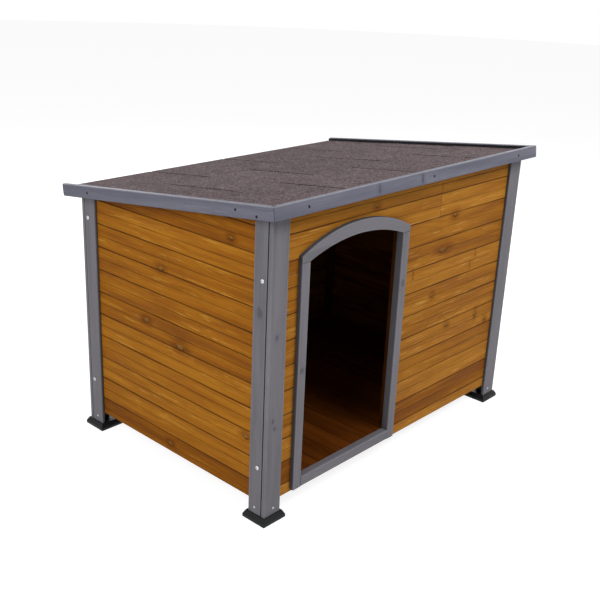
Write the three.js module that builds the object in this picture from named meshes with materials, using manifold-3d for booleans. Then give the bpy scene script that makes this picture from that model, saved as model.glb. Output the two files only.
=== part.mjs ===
// A wooden dog house: plank walls between grey corner boards, an arched doorway, and a felted
// mono-pitch roof that lifts from the front on two hinges at the back.
// Millimetres, +Z up. The origin lies on the ground, in the middle of the box round the whole house.
// +X is to the right of someone who faces the doorway, and +Y points to the back.

import * as THREE from "three";
import { mergeGeometries, mergeVertices } from "three/addons/utils/BufferGeometryUtils.js";
import Module from "manifold-3d";

const wasm = await Module();
wasm.setup();

// ---------------------------------------------------------------- driving dimensions

// The whole house
const houseLength = 1000; // over the outer faces of the corner boards
const houseDepth = 688;
const frontHeight = 783.3; // ground to the top edge of the front trim
const roofPitchDegrees = 7.45; // the roof falls to the back

// Clearances
const fitGap = 0.3; // between pieces that are nailed, screwed or laid on each other
const plankGap = 0.5; // open joint between two planks
const looseGap = 1.5; // round a floor panel, which lifts out
const overcut = 1; // how far a cutter runs past the faces that it cuts

// Sides and steps of the curves
const barSides = 12;
const knuckleSides = 16;
const easingSteps = 3;

// Corner boards, in pairs at each corner
const stileThickness = 11.1;
const frontStileWidth = 53.6; // on the front and back faces
const sideFaceWidth = 54.5; // of a corner on the side faces, front board's edge included
const boardEasing = 2.6; // radius along the edges of the grey boards
const cornerBattenSize = 25;

// Feet
const footFloor = 6; // plastic under the corner boards
const footHeight = 18.3;
const footRim = 9.1; // how far a foot stands out round its corner
const footRimTop = 3.4; // width of the rim at its top edge
const footSkirt = 7.5; // height of the upright part, below the slope
const footSocketGap = 0.4;
const footTongueSize = 24; // block between the two corner boards
const footTongueTop = 42;

// Planks
const plankThickness = 8;
const plankPitch = 62.2;
const plankInset = 8.3; // plank face behind the faces of the corner boards
const wallBottom = 47.2; // ground to the lowest plank edge
const frontFirstRow = 31.1; // height of the lowest, ripped plank of the front and back walls
const sideFirstRow = 49;
const smallestRip = 10; // no joint lies nearer than this to the foot or top of a wall
const plankEase = 1.3; // chamfer along a plank's long edges
const jointDepth = 3; // open joint, down to the tongue
const beadHalfWidth = 1.1; // false joint along the middle of a plank
const beadDepth = 1;

// Rails and studs inside the walls
const railDepth = 20;
const railHeight = 30;
const studWidth = 30;
const studSetback = 14; // stud behind the edge of the doorway

// Doorway
const doorLeft = 93.2; // left corner of the house to the door frame's outer edge
const doorWidth = 393; // over the frame
const frameWidth = 27;
const frameProud = 11.5; // frame face in front of the planks
const frameLip = 8; // lining that covers the cut plank ends
const frameEasing = 2;
const sillBottom = 55.6;
const sillHeight = 26.3;
const headRoom = 153; // tops of the door jambs below the top edge of the front trim
const archShoulder = 16; // upright end of the arched head
const archOuterRise = 48.5;
const archInnerRise = 31.5;
const archSteps = 20;

// Floor
const floorTop = 80; // ground to the floor's upper face
const floorThickness = 10;
const floorPanels = 3;
const boardsPerPanel = 5;
const bearerDepth = 25;
const cleatWidth = 22;
const cleatHeight = 14;
const cleatInset = 90; // cleat behind the ends of the floor boards
const cleatEndInset = 45;
const middleBearerWidth = 40;

// Roof
const roofSideOverhang = 26.5;
const roofFrontOverhang = 25.3;
const roofBackOverhang = 44.2;
const trimHeight = 32.8;
const trimThickness = 12;
const trimEasing = 2.6;
const trimBackChamfer = 5;
const feltDrop = 8.8; // felt surface below the trims' top edges
const underlayThickness = 1.2;
const shingleThickness = 2.6; // at the lower edge of a course
const shingleStep = 1.2; // how far that edge stands above the next course
const shingleSlotDepth = 1.8;
const feltUpstand = 7; // felt turned up inside the trims, above the shingles
const feltUpstandThickness = 2;
const shingleCourses = 3;
const shingleTab = 272;
const shingleEdgeRoom = 45; // no slot lies nearer than this to the side of the roof
const shingleSlotWidth = 6;
const shingleHeadLap = 12; // uncut upper edge of a course
const deckThickness = 8;
const rafterWidth = 25;
const rafterDepth = 25;
const rafterCount = 2;
const rafterEndRoom = 18; // rafter ends clear of the wall rails

// Hinges
const hingeLength = 70;
const hingeInset = 170; // hinge centre to the outer face of the corner boards
const hingeLeafWidth = 28;
const hingeLeafThickness = 2.2;
const knuckleRadius = 3.8;
const pinRadius = 1.8;
const pinPlay = 0.3;
const knuckleGap = 0.5;
const pinHeadRadius = 3;
const pinHeadLength = 1.2;
const backRailHeight = 54; // grey rail across the top of the back wall
const backRailLap = 17; // of the rail over the back planks

// Fasteners
const panHeadRadius = 5;
const panHeadHeight = 2.6;
const panRimShare = 0.45; // share of the head's height that stands upright at its rim
const panCrownTurn = 63; // degrees of the crown's arc, from the rim
const panCrownSteps = 3;
const panShankRadius = 2;
const panScrewLength = 30;
const panScrewTip = 1.2; // radius of the blunt tip
const recessDepth = 1.3;
const recessArm = 2.2;
const recessWidth = 0.9;
const panelScrewInset = 26; // from the front or back face
const lowerScrewHeight = 144.3;
const upperScrewDrop = 179.5; // upper screws below the top edge of the front trim
const hingeScrewRadius = 1.7;
const hingeScrewHeadRadius = 3.2;
const hingeScrewSink = 1.2; // pocket for the head in the leaf
const drillRoom = 0.5; // holes deeper than their screws
const hingeScrewRows = [0.4, 0.72]; // shares of the leaf's width from the pin
const hingeScrewEdge = 10; // outer screws from the ends of the leaf

// ---------------------------------------------------------------- places worked out from them

const pitch = THREE.MathUtils.degToRad(roofPitchDegrees);
const rise = Math.sin(pitch);
const run = Math.cos(pitch);
const sideX = houseLength / 2;
// Along the slope, from the face of the front trim to the back edge.
const roofRunLength = (roofFrontOverhang + houseDepth + roofBackOverhang) / run;
// The box runs from the foot of the front trim to the back end of the side trims.
const boxFront = -roofFrontOverhang - trimHeight * rise;
const boxBack = houseDepth + roofBackOverhang;
const frontY = -(boxFront + boxBack) / 2;
const backY = frontY + houseDepth;

const roofOrigin = new THREE.Vector3(0, frontY - roofFrontOverhang, frontHeight);
const deckTop = -feltDrop - shingleThickness - underlayThickness - 2 * fitGap;
const deckUnder = deckTop - deckThickness;

// A point of the roof's own frame (y along the slope, z square to it) in the house's frame.
function fromRoof(along, up) {
  return { y: roofOrigin.y + along * run + up * rise, z: roofOrigin.z - along * rise + up * run };
}

// Height of the deck's underside over a place between front and back.
function deckHeightAt(y) {
  const along = (y - roofOrigin.y - deckUnder * rise) / run;
  return fromRoof(along, deckUnder).z;
}

const hingeAxisY = backY + fitGap + knuckleRadius;
const hingeAxisUp = deckUnder - fitGap - knuckleRadius;
const hingeAxisAlong = (hingeAxisY - roofOrigin.y - hingeAxisUp * rise) / run;
const hingeAxisZ = fromRoof(hingeAxisAlong, hingeAxisUp).z;

// ---------------------------------------------------------------- materials

function paint(color, roughness, metalness = 0) {
  return new THREE.MeshStandardMaterial({ color, roughness, metalness });
}

const greyPaint = paint(0x72737a, 0.6);
const trimPaint = paint(0x72768a, 0.55);
const honeyWood = paint(0xa9702c, 0.5);
const rawWood = paint(0xa8804f, 0.75);
const blackPlastic = paint(0x1b1d1f, 0.55);
const bitumen = paint(0x16171a, 0.8);
const mineralFelt = paint(0x65595b, 0.95);
const zinc = paint(0xa9abad, 0.35, 0.9);

// ---------------------------------------------------------------- solids

function toSolid(geometry) {
  const bare = geometry.clone();
  bare.deleteAttribute("normal");
  bare.deleteAttribute("uv");
  const merged = mergeVertices(bare, 1e-5);
  return new wasm.Manifold(new wasm.Mesh({
    numProp: 3,
    vertProperties: new Float32Array(merged.attributes.position.array),
    triVerts: new Uint32Array(merged.index.array),
  }));
}

function toGeometry(solid) {
  const { vertProperties, triVerts } = solid.getMesh();
  const geometry = new THREE.BufferGeometry();
  geometry.setAttribute("position", new THREE.BufferAttribute(vertProperties, 3));
  geometry.setIndex(new THREE.BufferAttribute(triVerts, 1));
  geometry.computeVertexNormals();
  return geometry;
}

function block(low, high) {
  const box = new THREE.BoxGeometry(high[0] - low[0], high[1] - low[1], high[2] - low[2]);
  box.translate((low[0] + high[0]) / 2, (low[1] + high[1]) / 2, (low[2] + high[2]) / 2);
  return toSolid(box);
}

// Frames that stand an extrusion up along each axis. Outline points are (y, z) for X,
// (x, z) for Y and (x, y) for Z.
const extrusionFrames = {
  x: new THREE.Matrix4().makeBasis(
    new THREE.Vector3(0, 1, 0), new THREE.Vector3(0, 0, 1), new THREE.Vector3(1, 0, 0)),
  y: new THREE.Matrix4().makeBasis(
    new THREE.Vector3(1, 0, 0), new THREE.Vector3(0, 0, 1), new THREE.Vector3(0, -1, 0)),
  z: new THREE.Matrix4(),
};

function extrude(axis, outline, from, to) {
  const shape = new THREE.Shape(outline.map(([a, b]) => new THREE.Vector2(a, b)));
  const geometry = new THREE.ExtrudeGeometry(shape, { depth: to - from, bevelEnabled: false });
  if (axis === "y") geometry.translate(0, 0, -to);
  else geometry.translate(0, 0, from);
  geometry.applyMatrix4(extrusionFrames[axis]);
  return toSolid(geometry);
}

// A rectangle with eased corners, as a list of points.
function easedRectangle(a0, b0, a1, b1, radius) {
  const corners = [[a1 - radius, b1 - radius, 0], [a0 + radius, b1 - radius, 1],
    [a0 + radius, b0 + radius, 2], [a1 - radius, b0 + radius, 3]];
  return corners.flatMap(([a, b, quarter]) => Array.from({ length: easingSteps + 1 }, (_, step) => {
    const angle = (quarter + step / easingSteps) * Math.PI / 2;
    return [a + radius * Math.cos(angle), b + radius * Math.sin(angle)];
  }));
}

// A board with eased long edges, between two corners, along the named axis.
function board(axis, low, high, easing = boardEasing) {
  const [a, b, c] = { x: [1, 2, 0], y: [0, 2, 1], z: [0, 1, 2] }[axis];
  return extrude(axis, easedRectangle(low[a], low[b], high[a], high[b], easing), low[c], high[c]);
}

// A round bar between two points, with its flats the same way for every bar of one size.
function bar(from, to, radius, sides = barSides) {
  const start = new THREE.Vector3(...from);
  const end = new THREE.Vector3(...to);
  const geometry = new THREE.CylinderGeometry(radius, radius, start.distanceTo(end), sides);
  const turn = new THREE.Quaternion().setFromUnitVectors(
    new THREE.Vector3(0, 1, 0), end.clone().sub(start).normalize());
  geometry.applyQuaternion(turn);
  geometry.translate(...start.add(end).multiplyScalar(0.5).toArray());
  return toSolid(geometry);
}

function join(solids) {
  return solids.reduce((whole, solid) => whole.add(solid));
}

function cut(solid, cutters) {
  return cutters.reduce((rest, cutter) => rest.subtract(cutter), solid);
}

// Everything above the deck's underside, which the walls are cut down to.
const farAway = houseLength + houseDepth + frontHeight;
const aboveWalls = extrude("x", [
  [frontY - farAway, deckHeightAt(frontY - farAway) - fitGap],
  [backY + farAway, deckHeightAt(backY + farAway) - fitGap],
  [backY + farAway, frontHeight + farAway],
  [frontY - farAway, frontHeight + farAway],
], -farAway, farAway);

function cutToRoof(solid) {
  return solid.subtract(aboveWalls);
}

const underRoof = frontHeight; // tall enough for every piece that the roof cuts down

// ---------------------------------------------------------------- the scene's groups

const dogHouse = new THREE.Group();
const walls = new THREE.Group();
const base = new THREE.Group();
const roof = new THREE.Group();
roof.position.copy(roofOrigin);
roof.rotation.x = -pitch;
dogHouse.add(walls, base, roof);

function addMesh(group, name, geometry, material) {
  const mesh = new THREE.Mesh(geometry, material);
  mesh.name = name;
  group.add(mesh);
  return mesh;
}

function addSolid(group, name, solid, material) {
  return addMesh(group, name, toGeometry(solid), material);
}

// ---------------------------------------------------------------- corners

const corners = ["front", "back"].flatMap((end) => ["left", "right"].map((side) => ({ end, side })));

// A box at a corner: "across" runs inwards from the side face, "deep" inwards from the front or
// back face.
function cornerBounds(corner, across, deep, low, high) {
  const xs = across.map((a) => (corner.side === "left" ? a - sideX : sideX - a));
  const ys = deep.map((d) => (corner.end === "front" ? frontY + d : backY - d));
  return [[Math.min(...xs), Math.min(...ys), low], [Math.max(...xs), Math.max(...ys), high]];
}

const battenStart = stileThickness + fitGap;
const battenEnd = battenStart + cornerBattenSize;
const plankEnd = battenEnd + fitGap; // from the corner to the ends of the planks
const rebateFloor = plankInset - fitGap; // board left over the plank ends

// Shank and head of a fastener, pointing along its own -Z from the head's underside at the origin.
function panScrewGeometry() {
  const crown = [];
  for (let step = 0; step <= panCrownSteps; step += 1) {
    const share = step / panCrownSteps;
    const spread = Math.cos(THREE.MathUtils.degToRad(panCrownTurn * share));
    const lift = (1 - panRimShare) * Math.sin(share * Math.PI / 2);
    crown.push(new THREE.Vector2(
      step === panCrownSteps ? 0 : panHeadRadius * spread, panHeadHeight * (panRimShare + lift)));
  }
  const profile = [
    new THREE.Vector2(0, -panScrewLength),
    new THREE.Vector2(panScrewTip, -panScrewLength + 2 * panShankRadius),
    new THREE.Vector2(panShankRadius, -panScrewLength + 4 * panShankRadius),
    new THREE.Vector2(panShankRadius, 0),
    new THREE.Vector2(panHeadRadius, 0),
    ...crown,
  ];
  const lathe = new THREE.LatheGeometry(profile, barSides);
  lathe.rotateX(Math.PI / 2);
  const arms = [[recessArm, recessWidth / 2], [recessWidth / 2, recessArm]].map(([x, y]) =>
    block([-x, -y, panHeadHeight - recessDepth], [x, y, panHeadHeight + overcut]));
  return toGeometry(cut(toSolid(lathe), [join(arms)]));
}

const panScrew = panScrewGeometry();

function holeFor({ point, normal }, radius, depth) {
  const [tip, mouth] = [-depth - drillRoom, overcut].map(
    (reach) => point.map((p, i) => p + normal[i] * reach));
  return bar(tip, mouth, radius + fitGap);
}

function sideNormal(corner) {
  return [corner.side === "left" ? -1 : 1, 0, 0];
}

function panelScrewPlaces(corner) {
  return [lowerScrewHeight, frontHeight - upperScrewDrop].map((height) => {
    const [low] = cornerBounds(corner, [0, 0], [panelScrewInset, panelScrewInset], height, height);
    return { point: low, normal: sideNormal(corner) };
  });
}

// The two screws that hold a side board to its batten.
function addPanelScrews(corner, name) {
  panelScrewPlaces(corner).forEach(({ point, normal }, index) => {
    const screw = addMesh(walls, `${name}_${["lower", "upper"][index]}_screw`, panScrew, zinc);
    screw.position.set(...point);
    screw.quaternion.setFromUnitVectors(new THREE.Vector3(0, 0, 1), new THREE.Vector3(...normal));
  });
}

function buildCorner(corner) {
  const name = `${corner.end}_${corner.side}`;
  const drilled = panelScrewPlaces(corner).map((place) => holeFor(place, panShankRadius, panScrewLength));
  const rebateEnd = plankEnd - fitGap;
  const tall = [footFloor + fitGap, underRoof];

  const endBoard = board("z", ...cornerBounds(corner, [0, frontStileWidth], [0, stileThickness], ...tall));
  const endRebate = block(...cornerBounds(
    corner, [rebateEnd, frontStileWidth + overcut], [rebateFloor, stileThickness + overcut], ...tall));
  addSolid(walls, `${name}_end_board`, cutToRoof(cut(endBoard, [endRebate])), greyPaint);

  const sideBoard = board("z", ...cornerBounds(
    corner, [0, stileThickness], [stileThickness + fitGap, sideFaceWidth], ...tall));
  const sideRebate = block(...cornerBounds(
    corner, [rebateFloor, stileThickness + overcut], [rebateEnd, sideFaceWidth + overcut], ...tall));
  addSolid(walls, `${name}_side_board`, cutToRoof(cut(sideBoard, [sideRebate, ...drilled])), greyPaint);

  const batten = block(...cornerBounds(
    corner, [battenStart, battenEnd], [battenStart, battenEnd], footTongueTop + fitGap, underRoof));
  addSolid(walls, `${name}_corner_batten`, cutToRoof(cut(batten, drilled)), rawWood);

  addPanelScrews(corner, name);
  buildFoot(corner, name);
}

// A cap with a sloping rim, two slots for the corner boards and a tongue between them.
function buildFoot(corner, name) {
  const outer = sideFaceWidth + 2 * footRim;
  const square = (width, z) => cornerBounds(
    corner, [-footRim + (outer - width) / 2, outer - footRim - (outer - width) / 2],
    [-footRim + (outer - width) / 2, outer - footRim - (outer - width) / 2], z, z);
  const skirt = block(square(outer, 0)[0], square(outer, footSkirt)[1]);
  const topWidth = outer - 2 * (footRim - footRimTop);
  const slope = new THREE.CylinderGeometry(
    topWidth / Math.SQRT2, outer / Math.SQRT2, footHeight - footSkirt, 4, 1);
  slope.rotateY(Math.PI / 4);
  slope.rotateX(Math.PI / 2);
  const middle = square(0, 0)[0];
  slope.translate(middle[0], middle[1], (footHeight + footSkirt) / 2);
  const slotHeights = [footFloor, footHeight + overcut];
  const play = footSocketGap;
  const slots = [
    block(...cornerBounds(corner, [-play, frontStileWidth + play],
      [-play, stileThickness + play], ...slotHeights)),
    block(...cornerBounds(corner, [-play, stileThickness + play],
      [-play, sideFaceWidth + play], ...slotHeights)),
  ];
  const tongueStart = stileThickness + play;
  const tongue = block(...cornerBounds(
    corner, [tongueStart, tongueStart + footTongueSize],
    [tongueStart, tongueStart + footTongueSize], footHeight - overcut, footTongueTop));
  const cap = cut(skirt.add(toSolid(slope)), slots);
  addSolid(base, `foot_${name}`, cap.add(tongue), blackPlastic);
}

corners.forEach(buildCorner);

// ---------------------------------------------------------------- plank walls

const jointProfile = [
  [0, -plankEase - plankGap / 2], [plankEase, -plankGap / 2], [jointDepth, -plankGap / 2],
  [jointDepth, plankGap / 2], [plankEase, plankGap / 2], [0, plankEase + plankGap / 2],
];
const beadProfile = [[0, -beadHalfWidth], [beadDepth, 0], [0, beadHalfWidth]];

// Section of planks joined edge to edge between two levels. Points are (deep, up), "deep" running
// inwards from the grooved face. A beaded plank has a false joint along its middle.
function plankSection(thickness, low, high, firstJoint, width, beaded = true) {
  const spacing = beaded ? width / 2 : width;
  const first = Math.ceil((low + smallestRip - firstJoint) / spacing);
  const last = Math.floor((high - smallestRip - firstJoint) / spacing);
  const face = [];
  for (let mark = first; mark <= last; mark += 1) {
    const profile = beaded && mark % 2 !== 0 ? beadProfile : jointProfile;
    face.push(...profile.map(([deep, up]) => [deep, firstJoint + mark * spacing + up]));
  }
  return [[0, low], ...face, [0, high], [thickness, high], [thickness, low]];
}

const backRailLow = deckHeightAt(backY) - fitGap - backRailHeight;
const plankFront = frontY + plankInset;
const plankBack = backY - plankInset;
const plankSideX = sideX - plankInset;
const innerPlankY = [plankFront + plankThickness, plankBack - plankThickness];
const innerPlankX = plankSideX - plankThickness;

// The doorway, from the left: frame, lining, clear opening.
const frameLeftX = doorLeft - sideX;
const frameRightX = frameLeftX + doorWidth;
const clearLeftX = frameLeftX + frameWidth;
const clearRightX = frameRightX - frameWidth;
const doorMiddleX = (frameLeftX + frameRightX) / 2;
const sillTop = sillBottom + sillHeight;
const jambTop = frontHeight - headRoom;
const shoulderTop = jambTop + archShoulder;

const springing = jambTop + fitGap; // foot of the arched head

// Points of a low arc over the doorway, left to right, moved outwards by a margin.
function archPoints(halfSpan, foot, archRise, margin = 0) {
  const baseRadius = (halfSpan ** 2 + archRise ** 2) / (2 * archRise);
  const centre = foot + archRise - baseRadius;
  const radius = baseRadius + margin;
  const spread = Math.asin((halfSpan + margin) / radius);
  return Array.from({ length: archSteps + 1 }, (_, step) => {
    const angle = spread * (2 * step / archSteps - 1);
    return [doorMiddleX + radius * Math.sin(angle), centre + radius * Math.cos(angle)];
  });
}

// The doorway as one outline, grown by a margin on every side.
function doorOutline(margin, bottom) {
  const halfSpan = doorWidth / 2 - frameWidth;
  return [
    [doorMiddleX + halfSpan + margin, bottom], [doorMiddleX - halfSpan - margin, bottom],
    ...archPoints(halfSpan, springing, archInnerRise, margin),
  ];
}

function buildPlankWalls() {
  const reach = sideX - plankEnd;
  const endJoint = wallBottom + frontFirstRow;
  const sideJoint = wallBottom + sideFirstRow;

  const doorHole = extrude("y", doorOutline(frameLip + fitGap, sillTop - frameLip - fitGap),
    plankFront - overcut, innerPlankY[0] + overcut);
  const front = plankSection(plankThickness, wallBottom, underRoof, endJoint, plankPitch)
    .map(([deep, up]) => [plankFront + deep, up]);
  addSolid(walls, "front_planks",
    cutToRoof(extrude("x", front, -reach, reach).subtract(doorHole)), honeyWood);

  const backTop = backRailLow + backRailLap - fitGap;
  const back = plankSection(plankThickness, wallBottom, backTop, endJoint, plankPitch)
    .map(([deep, up]) => [plankBack - deep, up]);
  addSolid(walls, "back_planks", extrude("x", back, -reach, reach), honeyWood);

  const side = plankSection(plankThickness, wallBottom, underRoof, sideJoint, plankPitch);
  for (const [name, out] of [["left", -1], ["right", 1]]) {
    const points = side.map(([deep, up]) => [out * (plankSideX - deep), up]);
    addSolid(walls, `${name}_planks`,
      cutToRoof(extrude("y", points, frontY + plankEnd, backY - plankEnd)), honeyWood);
  }
}

buildPlankWalls();

// ---------------------------------------------------------------- rails and studs inside

const frontRailY = [innerPlankY[0] + fitGap, innerPlankY[0] + fitGap + railDepth];
const backRailY = [innerPlankY[1] - fitGap - railDepth, innerPlankY[1] - fitGap];
const sideRailX = [innerPlankX - fitGap - railDepth, innerPlankX - fitGap];
const betweenBattensX = sideX - battenEnd - fitGap;
const betweenBattensY = [frontY + battenEnd + fitGap, backY - battenEnd - fitGap];
const floorUnder = floorTop - floorThickness;
const bearerTop = floorUnder - fitGap;
const railFoot = (y) => deckHeightAt(y) - fitGap - railHeight;

const studX = {
  left: [clearLeftX - studSetback - studWidth, clearLeftX - studSetback],
  right: [clearRightX + studSetback, clearRightX + studSetback + studWidth],
};

function buildRails() {
  const across = betweenBattensX;
  addSolid(walls, "front_top_rail", cutToRoof(block(
    [-across, frontRailY[0], railFoot(frontRailY[1])], [across, frontRailY[1], underRoof])), rawWood);

  // Side rails follow the roof's slope.
  for (const [side, out] of [["left", -1], ["right", 1]]) {
    const [low, high] = betweenBattensY;
    const xs = sideRailX.map((x) => out * x).sort((a, b) => a - b);
    const outline = [[low, railFoot(low)], [high, railFoot(high)],
      [high, deckHeightAt(high) - fitGap], [low, deckHeightAt(low) - fitGap]];
    addSolid(walls, `${side}_top_rail`, extrude("x", outline, ...xs), rawWood);
  }

  for (const side of ["left", "right"]) {
    addSolid(walls, `door_${side}_stud`, block(
      [studX[side][0], frontRailY[0], bearerTop + fitGap],
      [studX[side][1], frontRailY[1], railFoot(frontRailY[1]) - fitGap]), rawWood);
  }
}

buildRails();

// ---------------------------------------------------------------- door frame

const frameFaceY = plankFront - frameProud;
const frameBackY = plankFront - fitGap;
const liningBackY = innerPlankY[0];

function buildDoorFrame() {
  for (const [side, out] of [["left", -1], ["right", 1]]) {
    const edges = side === "left" ? [frameLeftX, clearLeftX] : [clearRightX, frameRightX];
    const inner = side === "left" ? clearLeftX : clearRightX;
    const face = board("z", [edges[0], frameFaceY, sillBottom], [edges[1], frameBackY, jambTop],
      frameEasing);
    const lips = [inner, inner + out * frameLip].sort((a, b) => a - b);
    const lip = block([lips[0], frameBackY - frameEasing - overcut, sillTop - frameLip],
      [lips[1], liningBackY, jambTop]);
    addSolid(walls, `door_${side}_jamb`, face.add(lip), greyPaint);
  }

  const sillEnds = [clearLeftX + fitGap, clearRightX - fitGap];
  const sillFace = board("x", [sillEnds[0], frameFaceY, sillBottom],
    [sillEnds[1], frameBackY, sillTop], frameEasing);
  const sillLip = block([sillEnds[0], frameBackY - frameEasing - overcut, sillTop - frameLip],
    [sillEnds[1], liningBackY, sillTop]);
  addSolid(walls, "door_sill", sillFace.add(sillLip), greyPaint);

  const outerHalf = doorWidth / 2;
  const innerHalf = outerHalf - frameWidth;
  const lipHalf = innerHalf + frameLip;
  const inner = archPoints(innerHalf, springing, archInnerRise);
  const faceOutline = [
    [doorMiddleX - outerHalf, springing],
    ...archPoints(outerHalf, shoulderTop, archOuterRise),
    [doorMiddleX + outerHalf, springing],
    ...inner.toReversed(),
  ];
  const lipOutline = [
    [doorMiddleX - lipHalf, springing],
    ...archPoints(innerHalf, springing, archInnerRise, frameLip),
    [doorMiddleX + lipHalf, springing],
    ...inner.toReversed(),
  ];
  const head = extrude("y", faceOutline, frameFaceY, frameBackY)
    .add(extrude("y", lipOutline, frameBackY - overcut, liningBackY));
  addSolid(walls, "door_arch", head, greyPaint);
}

buildDoorFrame();

// ---------------------------------------------------------------- floor

function buildFloor() {
  const across = betweenBattensX;
  const bearers = {
    floor_bearer_front: [[-across, frontRailY[0], wallBottom],
      [across, frontRailY[0] + bearerDepth, bearerTop]],
    floor_bearer_back: [[-across, backRailY[1] - bearerDepth, wallBottom],
      [across, backRailY[1], bearerTop]],
  };
  const bearerInner = [frontRailY[0] + bearerDepth + fitGap, backRailY[1] - bearerDepth - fitGap];
  for (const [side, out] of [["left", -1], ["right", 1]]) {
    const xs = [out * sideRailX[1], out * (sideRailX[1] - bearerDepth)].sort((a, b) => a - b);
    bearers[`floor_bearer_${side}`] = [[xs[0], Math.max(bearerInner[0], betweenBattensY[0]), wallBottom],
      [xs[1], Math.min(bearerInner[1], betweenBattensY[1]), bearerTop]];
  }
  const middleReach = sideRailX[1] - bearerDepth - fitGap;
  const midY = (frontY + backY) / 2;
  bearers.floor_bearer_middle = [[-middleReach, midY - middleBearerWidth / 2, wallBottom],
    [middleReach, midY + middleBearerWidth / 2, bearerTop]];
  for (const [name, bounds] of Object.entries(bearers)) {
    addSolid(base, name, block(...bounds), rawWood);
  }

  // Corners and studs that the floor panels are notched round.
  const notchLow = floorUnder - overcut;
  const notchHigh = floorTop + overcut;
  const notches = [
    ...corners.map((corner) => block(...cornerBounds(
      corner, [0, battenEnd + looseGap], [0, battenEnd + looseGap], notchLow, notchHigh))),
    ...Object.values(studX).map(([low, high]) => block(
      [low - looseGap, frontY, notchLow],
      [high + looseGap, frontRailY[1] + looseGap, notchHigh])),
  ];
  const floorY = [innerPlankY[0] + looseGap, innerPlankY[1] - looseGap];
  const floorX = innerPlankX - looseGap;
  const panelPitch = (2 * floorX + looseGap) / floorPanels;
  const panelWidth = panelPitch - looseGap;
  const boardPitch = panelWidth / boardsPerPanel;
  for (let panel = 0; panel < floorPanels; panel += 1) {
    const start = -floorX + panel * panelPitch;
    const end = start + panelWidth;
    const points = plankSection(floorThickness, start, end, start + boardPitch, boardPitch, false)
      .map(([deep, across]) => [across, floorTop - deep]);
    const boards = cut(extrude("y", points, ...floorY), notches);
    const cleats = [floorY[0] + cleatInset, floorY[1] - cleatInset - cleatWidth].map((y) => block(
      [start + cleatEndInset, y, floorUnder - cleatHeight],
      [end - cleatEndInset, y + cleatWidth, floorUnder + floorThickness / 2]));
    addSolid(base, `floor_panel_${panel + 1}`, boards.add(join(cleats)), honeyWood);
  }
}

buildFloor();

// ---------------------------------------------------------------- roof, in its own frame

const roofHalf = sideX + roofSideOverhang;
const deckHalf = roofHalf - trimThickness - fitGap;
const deckFront = trimThickness + fitGap;

function buildTrims() {
  const far = roofRunLength;
  const past = trimThickness + overcut;
  const mitre = (out) => extrude("z", [
    [out * roofHalf, 0], [out * (roofHalf - past), past],
    [out * (roofHalf - past), -overcut], [out * roofHalf, -overcut],
  ], -trimHeight - overcut, overcut);
  for (const [side, out] of [["left", -1], ["right", 1]]) {
    const xs = [out * roofHalf, out * (roofHalf - trimThickness)].sort((a, b) => a - b);
    const strip = board("y", [xs[0], 0, -trimHeight], [xs[1], far, 0], trimEasing);
    const nose = extrude("x", [[far - trimBackChamfer, -trimHeight - overcut],
      [far + overcut, -trimHeight + trimBackChamfer + overcut], [far + overcut, -trimHeight - overcut],
    ], xs[0] - overcut, xs[1] + overcut);
    addSolid(roof, `roof_${side}_trim`, cut(strip, [mitre(out), nose]), trimPaint);
  }
  const frontStrip = board("x", [-roofHalf, 0, -trimHeight], [roofHalf, trimThickness, 0], trimEasing);
  const frontKeep = extrude("z", [
    [-roofHalf + fitGap * Math.SQRT2, 0], [roofHalf - fitGap * Math.SQRT2, 0],
    [roofHalf - past - fitGap * Math.SQRT2, past],
    [-roofHalf + past + fitGap * Math.SQRT2, past],
  ], -trimHeight, 0);
  addSolid(roof, "roof_front_trim", frontStrip.intersect(frontKeep), trimPaint);
}

function buildDeck() {
  const rows = Math.round((roofRunLength - deckFront) / plankPitch);
  const deckPitch = (roofRunLength - deckFront) / rows;
  const points = plankSection(
    deckThickness, deckFront, roofRunLength, deckFront + deckPitch, deckPitch)
    .map(([deep, along]) => [along, deckUnder + deep]);
  addSolid(roof, "roof_deck", extrude("x", points, -deckHalf, deckHalf), honeyWood);

  // Rafters, between the rails of the front and back walls.
  const alongAt = (y) => (y - roofOrigin.y - deckUnder * rise) / run;
  const ends = [alongAt(frontRailY[1]) + rafterEndRoom, alongAt(innerPlankY[1]) - rafterEndRoom];
  const top = deckUnder - fitGap;
  const spacing = 2 * betweenBattensX / (rafterCount + 1);
  for (let index = 0; index < rafterCount; index += 1) {
    const x = -betweenBattensX + (index + 1) * spacing;
    addSolid(roof, `roof_rafter_${index + 1}`, block(
      [x - rafterWidth / 2, ends[0], top - rafterDepth], [x + rafterWidth / 2, ends[1], top]), rawWood);
  }
}

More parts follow.
